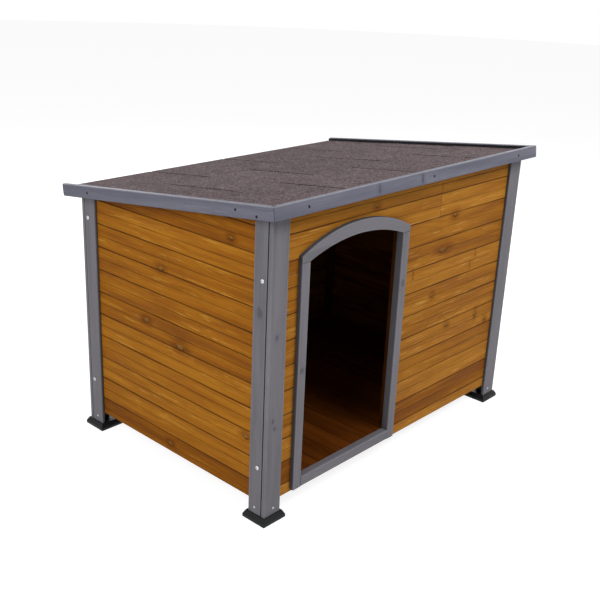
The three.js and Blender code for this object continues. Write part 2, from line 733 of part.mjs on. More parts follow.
function buildFelt() {
  const half = deckHalf - fitGap;
  const front = deckFront + fitGap;
  const low = deckTop + fitGap;
  const high = -feltDrop + feltUpstand;
  const turned = feltUpstandThickness;
  const tray = block([-half, front, low], [half, roofRunLength, high]);
  const inside = block([-half + turned, front + turned, low + underlayThickness],
    [half - turned, roofRunLength + overcut, high + overcut]);
  addSolid(roof, "felt_underlay", cut(tray, [inside]), bitumen);

  // Courses of shingles. The lower edge of each, nearer to the back, lies on the next one.
  const shingleHalf = half - feltUpstandThickness - fitGap;
  const start = front + feltUpstandThickness + fitGap;
  const exposure = (roofRunLength - start) / shingleCourses;
  const shingleLow = low + underlayThickness + fitGap;
  const outline = [[start, shingleLow]];
  const slots = [];
  for (let course = 0; course < shingleCourses; course += 1) {
    const [head, edge] = [start + course * exposure, start + (course + 1) * exposure];
    outline.push([head, -feltDrop - shingleStep], [edge, -feltDrop]);
    // The slots of neighbouring courses break joint.
    const firstSlot = -shingleHalf + shingleTab * (course % 2 === 0 ? 1 : 0.5);
    for (let x = firstSlot; x < shingleHalf - shingleEdgeRoom; x += shingleTab) {
      slots.push(block([x - shingleSlotWidth / 2, head + shingleHeadLap, -feltDrop - shingleSlotDepth],
        [x + shingleSlotWidth / 2, edge, -feltDrop + overcut]));
    }
  }
  outline.push([roofRunLength, shingleLow]);
  addSolid(roof, "roof_shingles", cut(extrude("x", outline, -shingleHalf, shingleHalf), slots), mineralFelt);
}

// ---------------------------------------------------------------- back rail and hinges

const hingeXs = { left: hingeInset - sideX, right: sideX - hingeInset };

// A leaf in its own frame: the pin along X through the origin, the plate running out along +Y
// with its fixed face at z = knuckleRadius.
const leafFace = knuckleRadius - hingeLeafThickness;

function leafScrewPoints() {
  const [near, far] = hingeScrewRows.map((share) => share * hingeLeafWidth);
  const outer = hingeLength / 2 - hingeScrewEdge;
  return [[-outer, far], [outer, far], [0, near]];
}

// Knuckles at the given thirds of the leaf's length wrap the pin.
function hingeLeaf(thirds) {
  const half = hingeLength / 2;
  const third = hingeLength / 3;
  const plate = block([-half, 0, leafFace], [half, hingeLeafWidth, knuckleRadius]);
  const knuckles = thirds.map((index) => bar(
    [-half + index * third + knuckleGap / 2, 0, 0],
    [-half + (index + 1) * third - knuckleGap / 2, 0, 0], knuckleRadius, knuckleSides));
  const reach = knuckleRadius + knuckleGap;
  const others = [0, 1, 2].filter((index) => !thirds.includes(index)).map((index) => block(
    [-half + index * third - knuckleGap / 2, -reach, -reach],
    [-half + (index + 1) * third + knuckleGap / 2, reach, reach]));
  const bore = bar([-half - overcut, 0, 0], [half + overcut, 0, 0], pinRadius + pinPlay, knuckleSides);
  const screwCuts = leafScrewPoints().flatMap(([x, y]) => [
    bar([x, y, leafFace - overcut], [x, y, knuckleRadius + overcut], hingeScrewRadius + fitGap),
    bar([x, y, leafFace - overcut], [x, y, leafFace + hingeScrewSink], hingeScrewHeadRadius + fitGap),
  ]);
  return cut(cut(plate, others).add(join(knuckles)), [bore, ...screwCuts]);
}

function buildBackRail() {
  const reach = sideX - frontStileWidth - fitGap;
  const rail = board("x", [-reach, backY - stileThickness, backRailLow], [reach, backY, underRoof]);
  const rebate = block([-reach - overcut, backY - stileThickness - overcut, backRailLow - overcut],
    [reach + overcut, backY - rebateFloor, backRailLow + backRailLap]);
  addSolid(walls, "back_rail", cutToRoof(cut(rail, [rebate])), greyPaint);
}

function buildHinges() {
  for (const [side, x] of Object.entries(hingeXs)) {
    const wallLeaf = addSolid(walls, `hinge_${side}_wall_leaf`, hingeLeaf([0, 2]), zinc);
    wallLeaf.position.set(x, hingeAxisY, hingeAxisZ);
    wallLeaf.rotation.set(-Math.PI / 2, 0, Math.PI, "ZYX");
    const roofLeaf = addSolid(roof, `hinge_${side}_roof_leaf`, hingeLeaf([1]), zinc);
    roofLeaf.position.set(x, hingeAxisAlong, hingeAxisUp);

    const [near, seat, end] = [-hingeLength / 2, hingeLength / 2 + fitGap,
      hingeLength / 2 + fitGap + pinHeadLength].map((reach) => [x + reach, hingeAxisY, hingeAxisZ]);
    addSolid(walls, `hinge_${side}_pin`,
      bar(near, end, pinRadius).add(bar(seat, end, pinHeadRadius)), zinc);
  }
}

buildBackRail();
buildHinges();

buildTrims();
buildDeck();
buildFelt();

export default dogHouse;
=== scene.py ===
"""A wooden dog house: plank walls, grey corner boards, an arched doorway and a shingled roof.

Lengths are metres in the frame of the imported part. +X is to the right of someone who faces the
doorway, +Y points to the back and +Z up, with the origin on the ground under the middle.
"""

import logging
import math
import random
from collections.abc import Callable, Sequence
from dataclasses import dataclass, field
from enum import Enum

import bpy
from mathutils import Matrix, Vector


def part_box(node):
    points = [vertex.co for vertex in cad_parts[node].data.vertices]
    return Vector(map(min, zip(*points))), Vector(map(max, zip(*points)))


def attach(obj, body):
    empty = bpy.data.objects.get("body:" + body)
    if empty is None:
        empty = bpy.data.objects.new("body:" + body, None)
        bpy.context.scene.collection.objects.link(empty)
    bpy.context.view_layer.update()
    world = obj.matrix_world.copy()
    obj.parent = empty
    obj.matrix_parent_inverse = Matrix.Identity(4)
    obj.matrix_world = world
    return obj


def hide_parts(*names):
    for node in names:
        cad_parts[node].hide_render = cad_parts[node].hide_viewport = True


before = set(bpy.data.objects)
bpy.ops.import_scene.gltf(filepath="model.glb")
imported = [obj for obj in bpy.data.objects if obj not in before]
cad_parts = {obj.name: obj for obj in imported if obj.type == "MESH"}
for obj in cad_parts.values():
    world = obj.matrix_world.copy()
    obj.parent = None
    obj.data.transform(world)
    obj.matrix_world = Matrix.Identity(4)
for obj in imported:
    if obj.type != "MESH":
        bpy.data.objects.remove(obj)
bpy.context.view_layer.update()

log = logging.getLogger("dog_house")

Colour = tuple[float, float, float, float]
Numbers = tuple[float, float, float]
Cut = Callable[[float, float], float]

HOUSE = "house"
ROOF = "roof"

RIGHT = Vector((1, 0, 0))
BACK = Vector((0, 1, 0))
UP = Vector((0, 0, 1))


def srgb(red: int, green: int, blue: int) -> Colour:
    """A linear colour from its screen values.

    Args:
        red: Red, 0 to 255.
        green: Green, 0 to 255.
        blue: Blue, 0 to 255.

    Returns:
        The linear colour with full alpha.
    """
    shares = (channel / 255 for channel in (red, green, blue))
    linear = [s / 12.92 if s <= 0.04045 else ((s + 0.055) / 1.055) ** 2.4 for s in shares]
    return (linear[0], linear[1], linear[2], 1.0)


# ------------------------------------------------------------------ shader trees


class Wire:
    """A node's output, which adds, multiplies and so on as a number does."""

    def __init__(self, sheet: "NodeSheet", socket: bpy.types.NodeSocket) -> None:
        """Holds an output of one of a sheet's nodes."""
        self.sheet, self.socket = sheet, socket

    def __add__(self, other: "Value") -> "Wire":
        """The sum."""
        return self.sheet.math("ADD", self, other)

    def __radd__(self, other: "Value") -> "Wire":
        """The sum, with the wire second."""
        return self.sheet.math("ADD", other, self)

    def __sub__(self, other: "Value") -> "Wire":
        """The difference."""
        return self.sheet.math("SUBTRACT", self, other)

    def __mul__(self, other: "Value") -> "Wire":
        """The product."""
        return self.sheet.math("MULTIPLY", self, other)

    def __rmul__(self, other: "Value") -> "Wire":
        """The product, with the wire second."""
        return self.sheet.math("MULTIPLY", other, self)

    def __truediv__(self, other: "Value") -> "Wire":
        """The quotient."""
        return self.sheet.math("DIVIDE", self, other)

    def __rtruediv__(self, other: "Value") -> "Wire":
        """The quotient, with the wire second."""
        return self.sheet.math("DIVIDE", other, self)

    def spread(self, low: float, high: float, to_low: "Value" = 0.0, to_high: float = 1.0,
               smooth: bool = True) -> "Wire":
        """Maps one range of values to another, and holds it at the ends.

        Args:
            low: Start of the range.
            high: End of the range.
            to_low: Result at the start.
            to_high: Result at the end.
            smooth: Whether the result eases in and out.

        Returns:
            The mapped value.
        """
        return self.sheet.wire("ShaderNodeMapRange", (self, low, high, to_low, to_high),
                               interpolation_type="SMOOTHSTEP" if smooth else "LINEAR")


Value = float | Numbers | Colour | Wire
Inputs = Sequence[Value | None] | dict[str | int, Value]


class NodeSheet:
    """Adds nodes to one shader tree and joins them up."""

    def __init__(self, tree: bpy.types.NodeTree) -> None:
        """Starts on the tree of a material, a world or a node group."""
        self.tree, self.placed = tree, 0

    def node(self, kind: str, inputs: Inputs = (), **settings: object) -> bpy.types.Node:
        """Adds one node.

        Args:
            kind: The node's type name.
            inputs: Values of its inputs, in order or by name.
            settings: Properties of the node to set.

        Returns:
            The new node.
        """
        made = self.tree.nodes.new(kind)
        for name, setting in settings.items():
            setattr(made, name, setting)
        for name, value in inputs.items() if isinstance(inputs, dict) else enumerate(inputs):
            self.feed(made.inputs[name], value)
        made.location = (220 * (self.placed % 12), -260 * (self.placed // 12))
        self.placed += 1
        return made

    def feed(self, socket: bpy.types.NodeSocket, value: Value | None) -> None:
        """Gives an input its value, or links it.

        Args:
            socket: The input.
            value: A number, a tuple, a wire, or None to leave it as it is.
        """
        if isinstance(value, Wire):
            self.tree.links.new(value.socket, socket)
        elif value is not None:
            socket.default_value = value

    def wire(self, kind: str, inputs: Inputs = (), output: str | int = 0,
             **settings: object) -> Wire:
        """One output of a new node."""
        return Wire(self, self.node(kind, inputs, **settings).outputs[output])

    def wires(self, kind: str, inputs: Inputs = (), **settings: object) -> dict[str, Wire]:
        """Every output of a new node, by name."""
        outputs = self.node(kind, inputs, **settings).outputs
        return {socket.name: Wire(self, socket) for socket in outputs}

    def math(self, operation: str, a: Value, b: Value | None = None, clamp: bool = False) -> Wire:
        """The result of a Math node, held between 0 and 1 where clamp is set."""
        return self.wire("ShaderNodeMath", (a, b), operation=operation, use_clamp=clamp)

    def away(self, place: Value, centre: Value) -> tuple[Wire, ...]:
        """The three parts of the way from a centre to a place."""
        return self.parts(self.wire("ShaderNodeVectorMath", (place, centre), operation="SUBTRACT"))

    def scale(self, vector: Value, factor: Value) -> Wire:
        """A vector times a number."""
        return self.wire("ShaderNodeVectorMath", {0: vector, "Scale": factor}, operation="SCALE")

    def combine(self, x: Value, y: Value, z: Value) -> Wire:
        """A vector from three values."""
        return self.wire("ShaderNodeCombineXYZ", (x, y, z))

    def parts(self, vector: Value) -> tuple[Wire, ...]:
        """The three values of a vector."""
        return tuple(self.wires("ShaderNodeSeparateXYZ", (vector,)).values())

    def noise(self, vector: Value, scale: float = 1.0, detail: float = 2.0,
              roughness: float = 0.5) -> Wire:
        """Smooth noise of 0 to 1: its waves per metre, its finer layers and their strength."""
        return self.wire("ShaderNodeTexNoise", {"Vector": vector, "Scale": scale,
                                                "Detail": detail, "Roughness": roughness})

    def cells(self, vector: Value, scale: float) -> dict[str, Wire]:
        """A pattern of so many cells per metre: its Distance, Color and Position."""
        return self.wires("ShaderNodeTexVoronoi", {"Vector": vector, "Scale": scale})

    def chance(self, seed: Value) -> Wire:
        """An even random value, the same wherever the seed is the same."""
        return self.wire("ShaderNodeTexWhiteNoise", {"W": seed}, noise_dimensions="1D")

    def mix(self, share: Value, first: Value, second: Value) -> Wire:
        """Two colours, mixed with that share of the second."""
        return self.wire("ShaderNodeMix", {0: share, 6: first, 7: second}, 2, data_type="RGBA")

    def ramp(self, share: Value, stops: Sequence[tuple[float, Colour]]) -> Wire:
        """A row of colours.

        Args:
            share: Place in the row, 0 to 1.
            stops: Places and their colours.

        Returns:
            The colour.
        """
        made = self.node("ShaderNodeValToRGB", (share,))
        band = made.color_ramp
        while len(band.elements) < len(stops):
            band.elements.new(0.5)
        for element, (place, colour) in zip(band.elements, stops):
            element.position = place
            element.color = colour
        return Wire(self, made.outputs[0])

    def attribute(self, name: str) -> Wire:
        """A vector kept on the mesh."""
        return self.wire("ShaderNodeAttribute", (), "Vector", attribute_name=name)

    def house_place(self) -> Wire:
        """The place in the house, in metres."""
        return self.wire("ShaderNodeTexCoord", (), "Object")

    def group(self, tree: bpy.types.NodeTree, **inputs: Value) -> dict[str, Wire]:
        """The outputs of a shared node group that is placed here with its own values."""
        return self.wires("ShaderNodeGroup", inputs, node_tree=tree)


class GroupDraft(NodeSheet):
    """A shared node group in the making."""

    def __init__(self, name: str, inputs: dict[str, float | Numbers],
                 outputs: Sequence[str]) -> None:
        """Makes the group's tree and sockets.

        Args:
            name: The group's name.
            inputs: The usual value of each input, a number or a vector.
            outputs: Names of its outputs, each a number.
        """
        super().__init__(bpy.data.node_groups.new(name, "ShaderNodeTree"))
        for label, usual in inputs.items():
            kind = "NodeSocketVector" if isinstance(usual, tuple) else "NodeSocketFloat"
            made = self.tree.interface.new_socket(label, in_out="INPUT", socket_type=kind)
            made.default_value = usual
        for label in outputs:
            self.tree.interface.new_socket(label, in_out="OUTPUT", socket_type="NodeSocketFloat")
        entry = self.node("NodeGroupInput")
        self.given = {label: Wire(self, entry.outputs[label]) for label in inputs}

    def put(self, **values: Value) -> bpy.types.NodeTree:
        """Sends values to the group's outputs of those names, and gives the finished group."""
        self.node("NodeGroupOutput", values)
        return self.tree


# ------------------------------------------------------------------ shared effects

ORIGIN = (0.0, 0.0, 0.0)
KNOT_MARKS = ("Mask", "Rim", "Halo", "Push")


class SharedEffects:
    """The node groups that several materials use, each built once."""

    def __init__(self) -> None:
        """Builds every group."""
        self.knot = self.build_knot()
        self.scattered_knots = self.build_scattered_knots()
        self.grain = self.build_grain()
        self.edge_wear_and_highlight = self.build_edge_wear_and_highlight()
        self.dust = self.build_dust()
        self.grit = self.build_grit()
        self.mottle = self.build_mottle()

    @staticmethod
    def build_knot() -> bpy.types.NodeTree:
        """One knot at a named place of a board.

        Returns:
            A group with a mask, its dark rim, the halo round it, and its push on the grain.
        """
        draft = GroupDraft("one_knot", {"Grain": ORIGIN, "Centre": ORIGIN, "Radius": 0.006,
                                        "Stretch": 1.4, "Power": 2.0}, KNOT_MARKS)
        grain, centre, radius, stretch, power = draft.given.values()
        along, across, _ = draft.away(grain, centre)
        total = draft.math("POWER", draft.math("ABSOLUTE", along / stretch) / radius, power) \
            + draft.math("POWER", draft.math("ABSOLUTE", across) / radius, power)
        ragged = draft.noise(grain, 260, 3, 0.6).spread(0.25, 0.75, -0.5, 0.5)
        reach = draft.math("POWER", total, 1.0 / power) + ragged
        below = (across / radius).spread(-0.6, 0.4, 1, 0.1)
        return draft.put(
            Mask=reach.spread(0.6, 1.25, 1, 0),
            Rim=reach.spread(0.45, 0.85) * reach.spread(1.0, 1.45, 1, 0) * below,
            Halo=reach.spread(0.8, 4.2, 1, 0), Push=reach.spread(0.2, 5.5, 1, 0) * radius)

    @staticmethod
    def build_scattered_knots() -> bpy.types.NodeTree:
        """Knots here and there over a board.

        Returns:
            A group with the same outputs as one knot has.
        """
        draft = GroupDraft("scattered_knots", {"Grain": ORIGIN, "Seed": 0.0, "Share": 0.3},
                           KNOT_MARKS)
        grain, seed, share = draft.given.values()
        along_rate, across_rate, stretch = 3.2, 9.0, 1.5
        along, across, _ = draft.parts(grain)
        place = draft.combine(along * along_rate, across * across_rate, seed * 41.0)
        cells = draft.cells(place, 1.0)
        chances = draft.parts(cells["Color"])
        kept = draft.math("LESS_THAN", chances[0], share)
        near, side, _ = draft.away(place, cells["Position"])
        near, side = near / (along_rate * stretch), side / across_rate
        radius = chances[1].spread(0, 1, 0.0022, 0.0055)
        ragged = draft.noise(grain, 320, 3, 0.6).spread(0.25, 0.75, -0.3, 0.3)
        reach = draft.math("SQRT", near * near + side * side) / radius + ragged
        return draft.put(
            Mask=reach.spread(0.7, 1.2, 1, 0) * kept,
            Rim=reach.spread(0.45, 0.85) * reach.spread(1.0, 1.4, 1, 0) * kept,
            Halo=reach.spread(0.8, 3.6, 1, 0) * kept,
            Push=reach.spread(0.2, 5.0, 1, 0) * radius * kept)

    @staticmethod
    def build_grain() -> bpy.types.NodeTree:
        """Growth rings cut by a board's faces, with fibres, streaks and clouds along them.

        Returns:
            A group with the dark rings, the fibres, pale and dark streaks and the slow tone.
        """
        draft = GroupDraft("wood_grain", {"Grain": ORIGIN, "Seed": 0.0, "Local": 0.0, "Push": 0.0,
                                          "Width": 0.0052},
                           ("Rings", "Fibres", "Pale", "Dark", "Slow"))
        grain, seed, local, push, ring_width = draft.given.values()
        along, across, deep = draft.parts(grain)
        shifted = along + seed * 37.0

        def wander(rate: float, lane: float) -> Wire:
            """Slow noise along the board, in its own lane."""
            return draft.noise(draft.combine(shifted * rate, lane, seed * 91.0))

        def streaks(lane: float, length: float, width: float) -> Wire:
            """Short streaks of that length and width in metres, in some places more than others.

            Args:
                lane: Keeps two kinds of streak apart.
                length: Length of a streak.
                width: Width of a streak.

            Returns:
                The streaks' mask.
            """
            thin = draft.noise(draft.combine(shifted / length, across / width,
                                             deep / width + lane), 1, 4, 0.6)
            wide = draft.noise(draft.combine(shifted * 3.0, across * 45.0, lane + 3.0), 1, 1)
            return thin.spread(0.54, 0.7) * wide.spread(0.42, 0.62)

        heart_side = (draft.chance(seed) - 0.5) * 0.13
        side = local - (heart_side + wander(1.6, 0.3).spread(0.2, 0.8, -0.02, 0.02))
        heart_depth = draft.chance(seed + 7.31).spread(0, 1, 0.012, 0.06)
        depth = deep + (heart_depth + wander(1.3, 5.7).spread(0.2, 0.8, -0.009, 0.009))
        ripple = draft.noise(draft.combine(shifted * 7.0, local * 55.0, seed), 1, 3)
        radius = draft.math("SQRT", side * side + depth * depth) \
            + ripple.spread(0.2, 0.8, -0.0014, 0.0014) + push * 1.1
        turn = draft.math("FRACT", radius / ring_width)
        late = turn.spread(0.3, 0.86) * turn.spread(0.9, 1.0, 1, 0)
        vary = draft.noise(draft.combine(shifted * 2.6, local * 120.0, deep * 120.0), 1, 2)
        fine = draft.noise(draft.combine(shifted * 30.0, across * 700.0, deep * 700.0), 1, 4, 0.65)
        slow = draft.noise(draft.combine(shifted * 3.4, across * 42.0, seed), 1, 3)
        return draft.put(
            Rings=late * vary.spread(0.25, 0.7, 0.35, 1), Fibres=fine.spread(0.25, 0.75),
            Pale=streaks(1.7, 0.075, 0.0034), Dark=streaks(8.9, 0.09, 0.0028),
            Slow=slow.spread(0.25, 0.75))

    @staticmethod
    def build_edge_wear_and_highlight() -> bpy.types.NodeTree:
        """Where edges are paler: worn thin, and given a painted highlight.

        Returns:
            A group with the mask of the worn edges with their painted highlight.
        """
        draft = GroupDraft("edge_wear_and_highlight", {"Place": ORIGIN, "Edge": 0.0, "Amount": 0.5,
                                         "Even": 0.3}, ("Mask",))
        place, edge, amount, even = draft.given.values()
        # Even keeps the edge from going patchy, so that it reads as a continuous painted highlight.
        patchy = draft.noise(place, 30, 5, 0.65).spread(0.3, 0.75, even, 1.0)
        return draft.put(Mask=edge * patchy * amount)

    @staticmethod
    def build_dust() -> bpy.types.NodeTree:
        """A little dust on what faces up.

        Returns:
            A group with the dust mask.
        """
        draft = GroupDraft("dust", {"Place": ORIGIN, "Amount": 0.2}, ("Mask",))
        place, amount = draft.given.values()
        up = draft.parts(draft.wire("ShaderNodeNewGeometry", (), "Normal"))[2].spread(0.35, 0.95)
        return draft.put(Mask=up * draft.noise(place, 38, 4, 0.65).spread(0.3, 0.75) * amount)

    @staticmethod
    def build_grit() -> bpy.types.NodeTree:
        """Mineral grains pressed into a surface.

        Returns:
            A group with a random value for each grain, the grains' height, and the gaps.
        """
        draft = GroupDraft("mineral_grit", {"Place": ORIGIN, "Size": 0.0017},
                           ("Tone", "Height", "Bare"))
        place, size = draft.given.values()
        scaled = draft.scale(place, 1.0 / size)
        cells, clumps = draft.cells(scaled, 1.0), draft.cells(scaled, 0.45)
        return draft.put(
            Tone=draft.parts(cells["Color"])[0] * 0.45 + draft.parts(clumps["Color"])[1] * 0.55,
            Height=cells["Distance"].spread(0.05, 0.65, 1, 0),
            Bare=cells["Distance"].spread(0.4, 0.75)
            * draft.noise(place, 60, 4, 0.6).spread(0.45, 0.7))

    @staticmethod
    def build_mottle() -> bpy.types.NodeTree:
        """Slow clouds of tone over a surface, so many per metre.

        Returns:
            A group with the clouds and a finer speckle.
        """
        draft = GroupDraft("mottle", {"Place": ORIGIN, "Scale": 9.0}, ("Clouds", "Speckle"))
        scaled = draft.scale(*draft.given.values())
        return draft.put(Clouds=draft.noise(scaled, 1, 3).spread(0.3, 0.7),
                         Speckle=draft.noise(scaled, 70, 3, 0.7).spread(0.3, 0.7))


# ------------------------------------------------------------------ finishes


class KnotKind(Enum):
    """A knot cut across, or a branch cut along that shows as a band; the value squares it off."""

    ROUND = 2.0
    SPIKE = 5.0


@dataclass(frozen=True)
class Knot:
    """A knot at a named place: metres along and across a board, in the board's own grain."""

    along: float
    across: float
    radius: float = 0.006
    stretch: float = 1.5
    kind: KnotKind = KnotKind.ROUND


class GrainSource(Enum):
    """Where a material reads the run of the grain: from the mesh, or from an axis of the house."""

    MESH = "mesh"
    ALONG_X = "x"
    ALONG_Y = "y"
    ALONG_Z = "z"


@dataclass(frozen=True)
class Lay:
    """How grain lies in a piece that has no grain of its own on its mesh."""

    source: GrainSource = GrainSource.MESH
    seed: float = 0.5
    tone: float = 0.5
    start: float = 0.0
    board: float = 0.0


SPECULAR = "Specular IOR Level"


class MaterialDraft(NodeSheet):
    """A material in the making, with its main shader."""

    def __init__(self, name: str) -> None:
        """Starts an empty material of that name."""
        self.material = bpy.data.materials.new(name)
        self.material.use_nodes = True
        self.material.node_tree.nodes.clear()
        super().__init__(self.material.node_tree)

    def finish(self, colour: Value, roughness: Value, constants: dict[str, float],
               height: Value | None = None, bump: tuple[float, float] = (0.0, 0.0)) \
            -> bpy.types.Material:
        """Adds the main shader.

        Args:
            colour: Its base colour.
            roughness: Its roughness.
            constants: What is the same all over, by socket.
            height: The bump's height over the surface.
            bump: Metres between heights 0 and 1, and how strongly the bump shows.

        Returns:
            The finished material.
        """
        inputs: dict[str | int, Value] = {"Base Color": colour, "Roughness": roughness, **constants}
        if height is not None:
            inputs["Normal"] = self.wire("ShaderNodeBump", {
                "Distance": bump[0], "Strength": bump[1], "Height": height})
        shader = self.wire("ShaderNodeBsdfPrincipled", inputs)
        self.node("ShaderNodeOutputMaterial", {"Surface": shader})
        return self.material


class WoodDraft(MaterialDraft):
    """A wood material in the making, which reads the grain, the knots and the marks."""

    def __init__(self, name: str, shared: SharedEffects, lay: Lay, knots: Sequence[Knot],
                 scattered: float, ring_width: float) -> None:
        """Reads everything that a wood finish is mixed from.

        Args:
            name: The material's name.
            shared: The shared effects.
            lay: How the grain lies.
            knots: Knots at named places.
            scattered: Share of the places for a knot that have one.
            ring_width: Distance between growth rings.
        """
        super().__init__(name)
        if lay.source is GrainSource.MESH:
            self.grain = self.attribute("grain")
            self.seed, self.tone, self.local = self.parts(self.attribute("board"))
            self.edge, self.joint_and_shade, self.end = self.parts(self.attribute("marks"))
        else:
            self.read_axis(lay)
            self.edge = self.joint_and_shade = self.end = 0.0
        self.mask = self.rim = self.halo = self.push = self.spike = 0.0
        spots = [(self.group(shared.knot, Grain=self.grain, Centre=(k.along, k.across, 0.0),
                             Radius=k.radius, Stretch=k.stretch, Power=k.kind.value), k.kind)
                 for k in knots]
        if scattered:
            spots.append((self.group(shared.scattered_knots, Grain=self.grain, Seed=self.seed,
                                     Share=scattered), KnotKind.ROUND))
        for spot, kind in spots:
            if kind is KnotKind.SPIKE:
                self.spike = self.math("MAXIMUM", self.spike, spot["Mask"])
            else:
                self.mask = self.math("MAXIMUM", self.mask, spot["Mask"])
                self.rim = self.math("MAXIMUM", self.rim, spot["Rim"])
                self.halo = self.math("MAXIMUM", self.halo, spot["Halo"])
            self.push = spot["Push"] + self.push
        grain = self.group(shared.grain, Grain=self.grain, Seed=self.seed, Local=self.local,
                           Push=self.push, Width=ring_width)
        self.rings, self.fibres, self.pale, self.dark, self.slow = grain.values()

    def read_axis(self, lay: Lay) -> None:
        """Takes the grain from the place in the house.

        Args:
            lay: How the grain lies.
        """
        x, y, z = self.parts(self.house_place())
        along, across, deep = {
            GrainSource.ALONG_X: (x, z, y), GrainSource.ALONG_Y: (y, x, z),
            GrainSource.ALONG_Z: (z, x, y)}[lay.source]
        self.grain = self.combine(along, across, deep)
        self.seed, self.tone, self.local = lay.seed, lay.tone, across - lay.start
        if lay.board:
            count = self.local / lay.board
            row = self.math("FLOOR", count)
            self.seed, self.tone = self.chance(row + lay.seed), self.chance(row + (lay.seed + 40.0))
            self.local = (self.math("FRACT", count) - 0.5) * lay.board


@dataclass(frozen=True)
class StainedWood:
    """Softwood under a thin honey-brown stain, with the grain and the knots in sight."""

    dark: Colour = srgb(114, 63, 10)
    middle: Colour = srgb(153, 94, 19)
    light: Colour = srgb(177, 117, 32)
    late_wood: Colour = srgb(98, 51, 6)
    yellow: Colour = srgb(208, 155, 66)
    knot: Colour = srgb(132, 98, 44)
    rim: Colour = srgb(66, 30, 6)
    # Colour of the dark joints, and of the painted shade on the planks' inner faces.
    joint_and_shade_colour: Colour = srgb(58, 19, 0)
    roughness: float = 0.6
    specular: float = 0.05
    ring_width: float = 0.0052

    def build(self, name: str, shared: SharedEffects, lay: Lay = Lay(),
              knots: Sequence[Knot] = (), scattered: float = 0.1) -> bpy.types.Material:
        """Makes the material.

        Args:
            name: The material's name.
            shared: The shared effects.
            lay: How the grain lies.
            knots: Knots at named places.
            scattered: Share of the places for a knot that have one.

        Returns:
            The material.
        """
        wood = WoodDraft(name, shared, lay, knots, scattered, self.ring_width)
        tone = wood.tone + wood.slow.spread(0, 1, -0.3, 0.3, False)
        tone = wood.math("SUBTRACT", tone, wood.halo * 0.4, True)
        colour = wood.ramp(tone, ((0.0, self.dark), (0.5, self.middle), (1.0, self.light)))
        colour = wood.mix(wood.rings * 0.3, colour, self.late_wood)
        colour = wood.mix(wood.dark * 0.38, colour, self.late_wood)
        colour = wood.mix(wood.pale * tone.spread(0.1, 0.7, 0.12, 0.74), colour, self.yellow)
        colour = wood.mix(wood.fibres * 0.24, colour, self.late_wood)
        colour = wood.mix(wood.spike * 0.42, colour, self.late_wood)
        colour = wood.mix(wood.mask * 0.75, colour, self.knot)
        colour = wood.mix(wood.rim * 0.85, colour, self.rim)
        # Joints are darkened, and the planks' inner faces get painted shade.
        colour = wood.mix(wood.joint_and_shade * wood.slow.spread(0.1, 0.9, 1.0, 0.6), colour, self.joint_and_shade_colour)
        colour = wood.mix(wood.end * 0.5, colour, self.dark)
        # Eased edges go yellower: some real wear, and a painted highlight where the bevels would
        # catch the light.
        wear_and_highlight = wood.group(shared.edge_wear_and_highlight, Place=wood.grain, Edge=wood.edge, Amount=0.3)
        colour = wood.mix(wear_and_highlight["Mask"], colour, self.yellow)
        gloss = wood.slow.spread(0, 1, self.roughness - 0.07, self.roughness + 0.08)
        height = wood.rings * 0.5 + wood.fibres * 0.5 - wood.rim * 1.4
        return wood.finish(colour, gloss, {SPECULAR: self.specular}, height, (0.00025, 0.8))


@dataclass(frozen=True)
class PaintedWood:
    """Softwood under one thin coat of grey, through which grain and knots show faintly."""

    coat: Colour = srgb(106, 104, 109)
    shade: Colour = srgb(94, 93, 99)
    pale: Colour = srgb(113, 111, 117)
    # Paler tone of the grain streaks and of the arrises. On the arrises it is partly a painted
    # highlight.
    paler_tone: Colour = srgb(140, 138, 145)
    wear_and_highlight: float = 0.3
    knot: Colour = srgb(66, 66, 73)
    # Colour of the dark seams, and of the painted shade on side faces, top faces, undersides and
    # the doorway lining.
    joint_and_shade_colour: Colour = srgb(26, 26, 30)
    roughness: float = 0.6
    specular: float = 0.22
    ring_width: float = 0.0048

    def build(self, name: str, shared: SharedEffects, knots: Sequence[Knot] = (),
              scattered: float = 0.1) -> bpy.types.Material:
        """Makes the material.

        Args:
            name: The material's name.
            shared: The shared effects.
            knots: Knots at named places.
            scattered: Share of the places for a knot that have one.

        Returns:
            The material.
        """
        wood = WoodDraft(name, shared, Lay(), knots, scattered, self.ring_width)
        share = wood.slow * 0.7 + wood.tone * 0.3
        colour = wood.ramp(share, ((0.15, self.shade), (0.5, self.coat), (0.9, self.pale)))
        colour = wood.mix(wood.rings * 0.25, colour, self.shade)
        colour = wood.mix(wood.dark * 0.35, colour, self.shade)
        colour = wood.mix(wood.pale * 0.22, colour, self.paler_tone)
        colour = wood.mix(wood.halo * 0.35, colour, self.shade)
        colour = wood.mix(wood.mask * 0.6, colour, self.knot)
        colour = wood.mix(wood.rim * 0.5, colour, self.knot)
        # Seams are darkened, and side faces, top faces, undersides and the lining get painted
        # shade.
        colour = wood.mix(wood.joint_and_shade, colour, self.joint_and_shade_colour)
        colour = wood.mix(wood.end * 0.3, colour, self.shade)
        # Arrises go paler: some real wear, and a painted highlight along them.
        wear_and_highlight = wood.group(shared.edge_wear_and_highlight, Place=wood.grain, Edge=wood.edge, Amount=self.wear_and_highlight,
                          Even=0.55)
        colour = wood.mix(wear_and_highlight["Mask"], colour, self.paler_tone)
        gloss = wood.slow.spread(0, 1, self.roughness - 0.06, self.roughness + 0.1)
        height = wood.rings * 0.55 + wood.fibres * 0.35 + wood.mask * 0.6
        return wood.finish(colour, gloss, {SPECULAR: self.specular}, height, (0.0002, 0.6))


